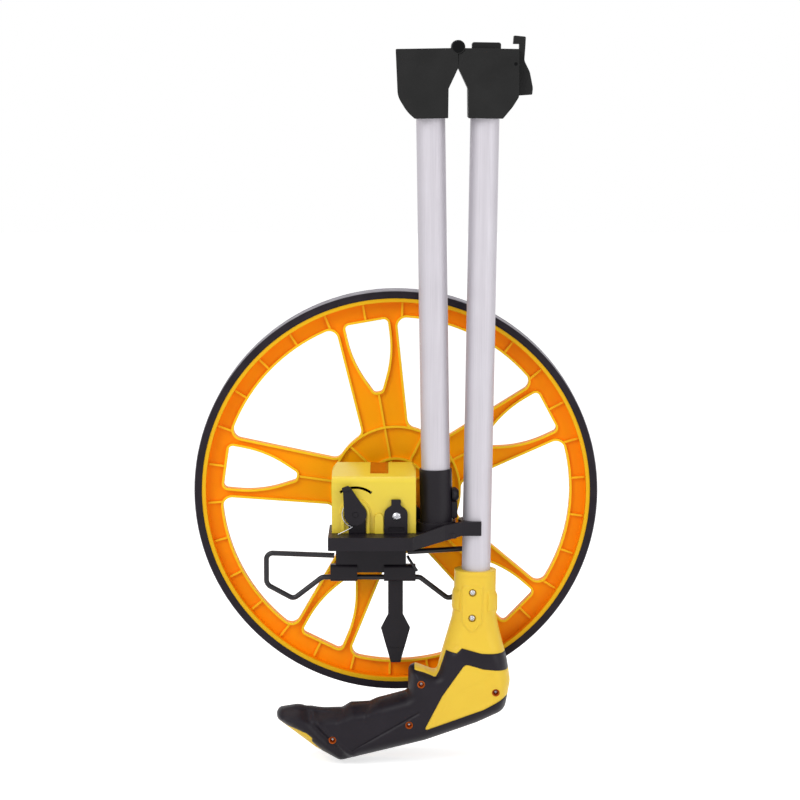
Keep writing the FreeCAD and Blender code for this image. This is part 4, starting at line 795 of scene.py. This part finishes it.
def bent_wire(name, path, radius):
    """A round wire along (x, depth, z) points in millimetres, cut off square."""
    points = [Vector((x * MM, -depth * MM, z * MM)) for x, depth, z in path]
    mesh = bmesh.new()
    loops = []
    for k, point in enumerate(points):
        along = (points[min(k + 1, len(points) - 1)] - points[max(k - 1, 0)]).normalized()
        side = along.cross(Vector((0.3, 1, 0.2))).normalized()
        other = along.cross(side)
        turns = [2 * math.pi * j / WIRE_STEPS for j in range(WIRE_STEPS)]
        loops.append([mesh.verts.new(point + radius * MM * (side * math.cos(turn)
                                                           + other * math.sin(turn)))
                      for turn in turns])
    for first, second in zip(loops, loops[1:]):
        for j in range(WIRE_STEPS):
            after = (j + 1) % WIRE_STEPS
            mesh.faces.new((first[j], second[j], second[after], first[after]))
    mesh.faces.new(loops[0])
    mesh.faces.new(loops[-1])
    bmesh.ops.recalc_face_normals(mesh, faces=mesh.faces)
    return finished_piece(name, mesh, Matrix())


def half_round(size):
    """A half ellipse over the lever's pivot, from left to right, with a foot at each end."""
    (x, z), (wide, high) = LEVER_PIVOT, size
    turns = [math.pi * (1 - k / 24) for k in range(25)]
    arc = [(x + wide * math.cos(turn), z + high * math.sin(turn)) for turn in turns]
    return [(x - wide, ARCH_FOOT)] + arc + [(x + wide, ARCH_FOOT)]


def make_counter_details(black, yellow, steel, wire):
    """The lever's cap and return spring, the arch moulded round the lever, the slotted screw in
    the cover bracket, and the stand's spring leg."""
    cap = flat_block("reset_lever_cap", LEVER_CAP, front=67.4, back=65.0, edge=0.5)
    fit(cap, black, "reset_lever")
    arch = flat_block("cover_lever_arch", half_round(ARCH_OUTSIDE) + half_round(ARCH_INSIDE)[::-1],
                      front=CASE_FACE + 1.1, back=CASE_FACE - 0.6, edge=0.4)
    fit(arch, yellow, "chassis")
    x, z = LEVER_PIVOT
    coil = [(x + SPRING_RADIUS * math.cos(turn), CASE_FACE + 2.0,
             z + SPRING_RADIUS * math.sin(turn)) for turn in np.linspace(*SPRING_TURN, 14)]
    spring = bent_wire("lever_return_spring", coil + SPRING_TAIL, 0.38)
    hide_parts("lever_spring")
    fit(spring, steel, "chassis")
    screw = screw_heads("cover_screw_head", [COVER_SCREW], 3.2, [CASE_FACE + 1.5],
                        math.radians(18), Matrix())
    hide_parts("cover_screw")
    fit(screw, steel, "chassis")
    fit(bent_wire("stand_spring_leg", STAND_LEG, 1.1), wire, "chassis")


# ---------------------------------------------------------------- finishes

# Each black or yellow moulding keeps a tone of its own, as parts from different tools do. The
# real grains, 0.1 to 0.3 mm apart, are drawn at 0.6 to 0.8 mm so that they show.
# Soft thermoplastic rubber over a hard shell: dark, with a leathery grain and a dull sheen.
RUBBER = moulded_plastic("overmoulded_soft_rubber", "#17121A", "#201B23", 0.8 * MM, 0.06 * MM,
                         0.42, 0.5 * MM, specular=0.2)
# Polypropylene: waxy, with a slow orange peel, and a little light sinks in.
GRIP_YELLOW = moulded_plastic("moulded_yellow_polypropylene", "#F0CA42", "#EDC440", 2.4 * MM,
                              0.03 * MM, 0.42, 0.8 * MM, specular=0.2, glow=0.06)
# The screw wells' walls and floors are yellow polypropylene, painted orange-brown as painted shade
# for lying deep in the screws' holes.
WELL_PAINTED_SHADE = moulded_plastic("yellow_polypropylene_painted_well_shade", "#B4500E", "#C05C16", 1.2 * MM,
                              0.03 * MM, 0.42, 0.2 * MM)
# ABS from a polished tool: harder and glossier than polypropylene, with clean highlights.
CASE_YELLOW = moulded_plastic("moulded_yellow_abs", "#EAD03E", "#E6C938", 2.4 * MM, 0.03 * MM,
                              0.34, 0.8 * MM, specular=0.5, glow=0.04)
# Nylon with short glass fibre: the fibres lie at the skin and leave it satin and a bit rough.
BLACK_NYLON = moulded_plastic("black_glass_filled_nylon", "#161218", "#1F1B21", 0.7 * MM,
                              0.05 * MM, 0.4, 0.5 * MM, specular=0.2)
# ABS from a spark-eroded tool: an even fine texture that greys the black.
HINGE_ABS = moulded_plastic("charcoal_moulded_abs", "#212121", "#2A2A2A", 0.7 * MM, 0.05 * MM,
                            0.4, 0.5 * MM)
# White ABS drums with pad-printed figures, whose ink lies flat and dull.
WHITE_ABS = moulded_plastic("white_drum_abs", "#E4E2DA", "#EEECE6", 1.5 * MM, 0.02 * MM, 0.4,
                            0.3 * MM)
DIGIT_INK = moulded_plastic("black_printed_ink", "#1E1C1F", "#29272A", 0.6 * MM, 0.01 * MM, 0.5,
                            0.1 * MM)
# Dip-coated wire: a thick satin skin with soft runs 4 mm apart.
WIRE_COATING = moulded_plastic("dip_coated_spring_wire", "#17151A", "#232026", 4 * MM, 0.05 * MM,
                               0.32, 0.3 * MM, specular=0.35)
# Black oxide on steel: a thin dark skin that mirrors little, so it has no metallic share.
BLACKED_STEEL = moulded_plastic("black_oxide_steel", "#080809", "#101011", 0.8 * MM, 0.01 * MM,
                                0.4, 0.3 * MM, specular=0.08)
# Zinc plating, tumbled bright: crisp reflections and faint marks 0.8 mm apart.
ZINC_STEEL = metal("zinc_plated_steel", "#B4B4B8", "#CECED2", (1, 1, 1), 0.8 * MM, 0.22, 0.14,
                   0.25 * MM)
# Drawn tube, etched and clear-anodised: a soft broad sheen, with fine lines along it. They are
# under 0.1 mm apart on the real one and drawn 0.5 mm apart so that they show.
SATIN_TUBE = metal("satin_anodised_aluminium", "#BCB8BE", "#C3C0C6", (1, 1, 0.01), 0.5 * MM,
                   0.6, 0.12, 0.2 * MM)

FINISHES = {
    "tyre_rubber": moulded_tyre_rubber(),
    "wheel_plastic": orange_wheel_plastic(),
    "bright_steel": ZINC_STEEL,
    "black_steel": BLACKED_STEEL,
    "tube_aluminium": SATIN_TUBE,
    "black_plastic": BLACK_NYLON,
    "hinge_plastic": HINGE_ABS,
    "case_plastic": CASE_YELLOW,
    "grip_plastic": GRIP_YELLOW,
    "grip_rubber": RUBBER,
    "window_plastic": clear_polycarbonate(),
    "drum_plastic": WHITE_ABS,
    "stand_wire": WIRE_COATING,
}
for sub_part in frame["record"]["subparts"]:
    for slot in frame["nodes"][sub_part["node"]].material_slots:
        slot.material = FINISHES[sub_part["material_slot"]]

make_grip(RUBBER, GRIP_YELLOW, WELL_PAINTED_SHADE, ZINC_STEEL)
make_counter_details(BLACK_NYLON, CASE_YELLOW, ZINC_STEEL, WIRE_COATING)
for drum_number in range(1, 6):
    make_digits(drum_number, DIGIT_INK)


# ---------------------------------------------------------------- stage, light and camera

WORLD_LIGHT = 0.46
LAMP_LEVEL = 0.82
FLOOR_REACH = 6.0
FLOOR_LIFT = 0.62
FLOOR_GAP = 0.2 * MM
OBJECT_MIDDLE = (0.0, 0.0, 0.25)
CAMERA_TARGET = Vector((3.25 * MM, -12.5 * MM, 232.15 * MM))
CAMERA_DISTANCE = 2.1
CAMERA_PITCH = math.radians(7.5)
CAMERA_LENS = 120.34


def background_rays(tree):
    """1 for a ray that should meet a white background: from the camera, off a glossy surface or
    through the window. It is 0 for one that only carries light."""
    paths = add(tree, "LightPath")
    seen = add(tree, "Math", {0: paths.outputs["Is Camera Ray"], 1: paths.outputs["Is Glossy Ray"]},
               operation="MAXIMUM")
    return add(tree, "Math", {0: seen.outputs[0], 1: paths.outputs["Is Transmission Ray"]},
               operation="MAXIMUM").outputs[0]


def make_floor(height):
    """A plain pale floor, white to the camera where nothing shades it."""
    data = bpy.data.meshes.new("floor")
    corners = [(x * FLOOR_REACH, y * FLOOR_REACH, height)
               for x, y in ((-1, -1), (1, -1), (1, 1), (-1, 1))]
    data.from_pydata(corners, [], [(0, 1, 2, 3)])
    floor = bpy.data.objects.new("floor", data)
    bpy.context.scene.collection.objects.link(floor)
    material, tree, shader = new_material("white_studio_floor", Roughness=0.9)
    shader.inputs["Base Color"].default_value = colour("#F4F4F4")
    lift = add(tree, "Math", {0: background_rays(tree), 1: FLOOR_LIFT}, operation="MULTIPLY")
    shader.inputs["Emission Color"].default_value = (1, 1, 1, 1)
    tree.links.new(lift.outputs[0], shader.inputs["Emission Strength"])
    data.materials.append(material)


def make_world():
    """An even studio: soft ambient light, and plain white wherever the background is seen."""
    world = bpy.data.worlds.new("studio")
    bpy.context.scene.world = world
    world.use_nodes = True
    tree = world.node_tree
    background = tree.nodes["Background"]
    background.inputs["Color"].default_value = (1, 1, 1, 1)
    strength = add(tree, "MapRange", {"Value": background_rays(tree), "To Min": WORLD_LIGHT,
                                      "To Max": 1.0})
    tree.links.new(strength.outputs["Result"], background.inputs["Strength"])


def make_lamp(name, place, size, power):
    """A square softbox aimed at the object's middle."""
    data = bpy.data.lights.new(name, "AREA")
    data.size = size
    data.energy = power * LAMP_LEVEL
    lamp = bpy.data.objects.new(name, data)
    bpy.context.scene.collection.objects.link(lamp)
    lamp.location = place
    aim = Vector(OBJECT_MIDDLE) - Vector(place)
    lamp.rotation_euler = aim.to_track_quat("-Z", "Y").to_euler()


def make_camera():
    """The camera: square on, tipped a little down, a long lens away."""
    data = bpy.data.cameras.new("camera")
    data.lens = CAMERA_LENS
    data.sensor_width = 36
    data.clip_end = 50
    camera = bpy.data.objects.new("camera", data)
    bpy.context.scene.collection.objects.link(camera)
    away = Vector((0, -math.cos(CAMERA_PITCH), math.sin(CAMERA_PITCH)))
    camera.location = CAMERA_TARGET + CAMERA_DISTANCE * away
    camera.rotation_euler = (math.pi / 2 - CAMERA_PITCH, 0, 0)
    bpy.context.scene.camera = camera


make_floor(cad_box[0][2] - FLOOR_GAP)
make_world()
make_lamp("key_softbox", (-1.1, -1.5, 1.5), size=1.2, power=26)
make_lamp("fill_softbox", (1.5, -1.2, 0.7), size=1.2, power=12)
make_lamp("top_softbox", (0.1, 0.3, 1.9), size=1.0, power=12)
make_camera()
bpy.context.scene.view_settings.view_transform = "Standard"
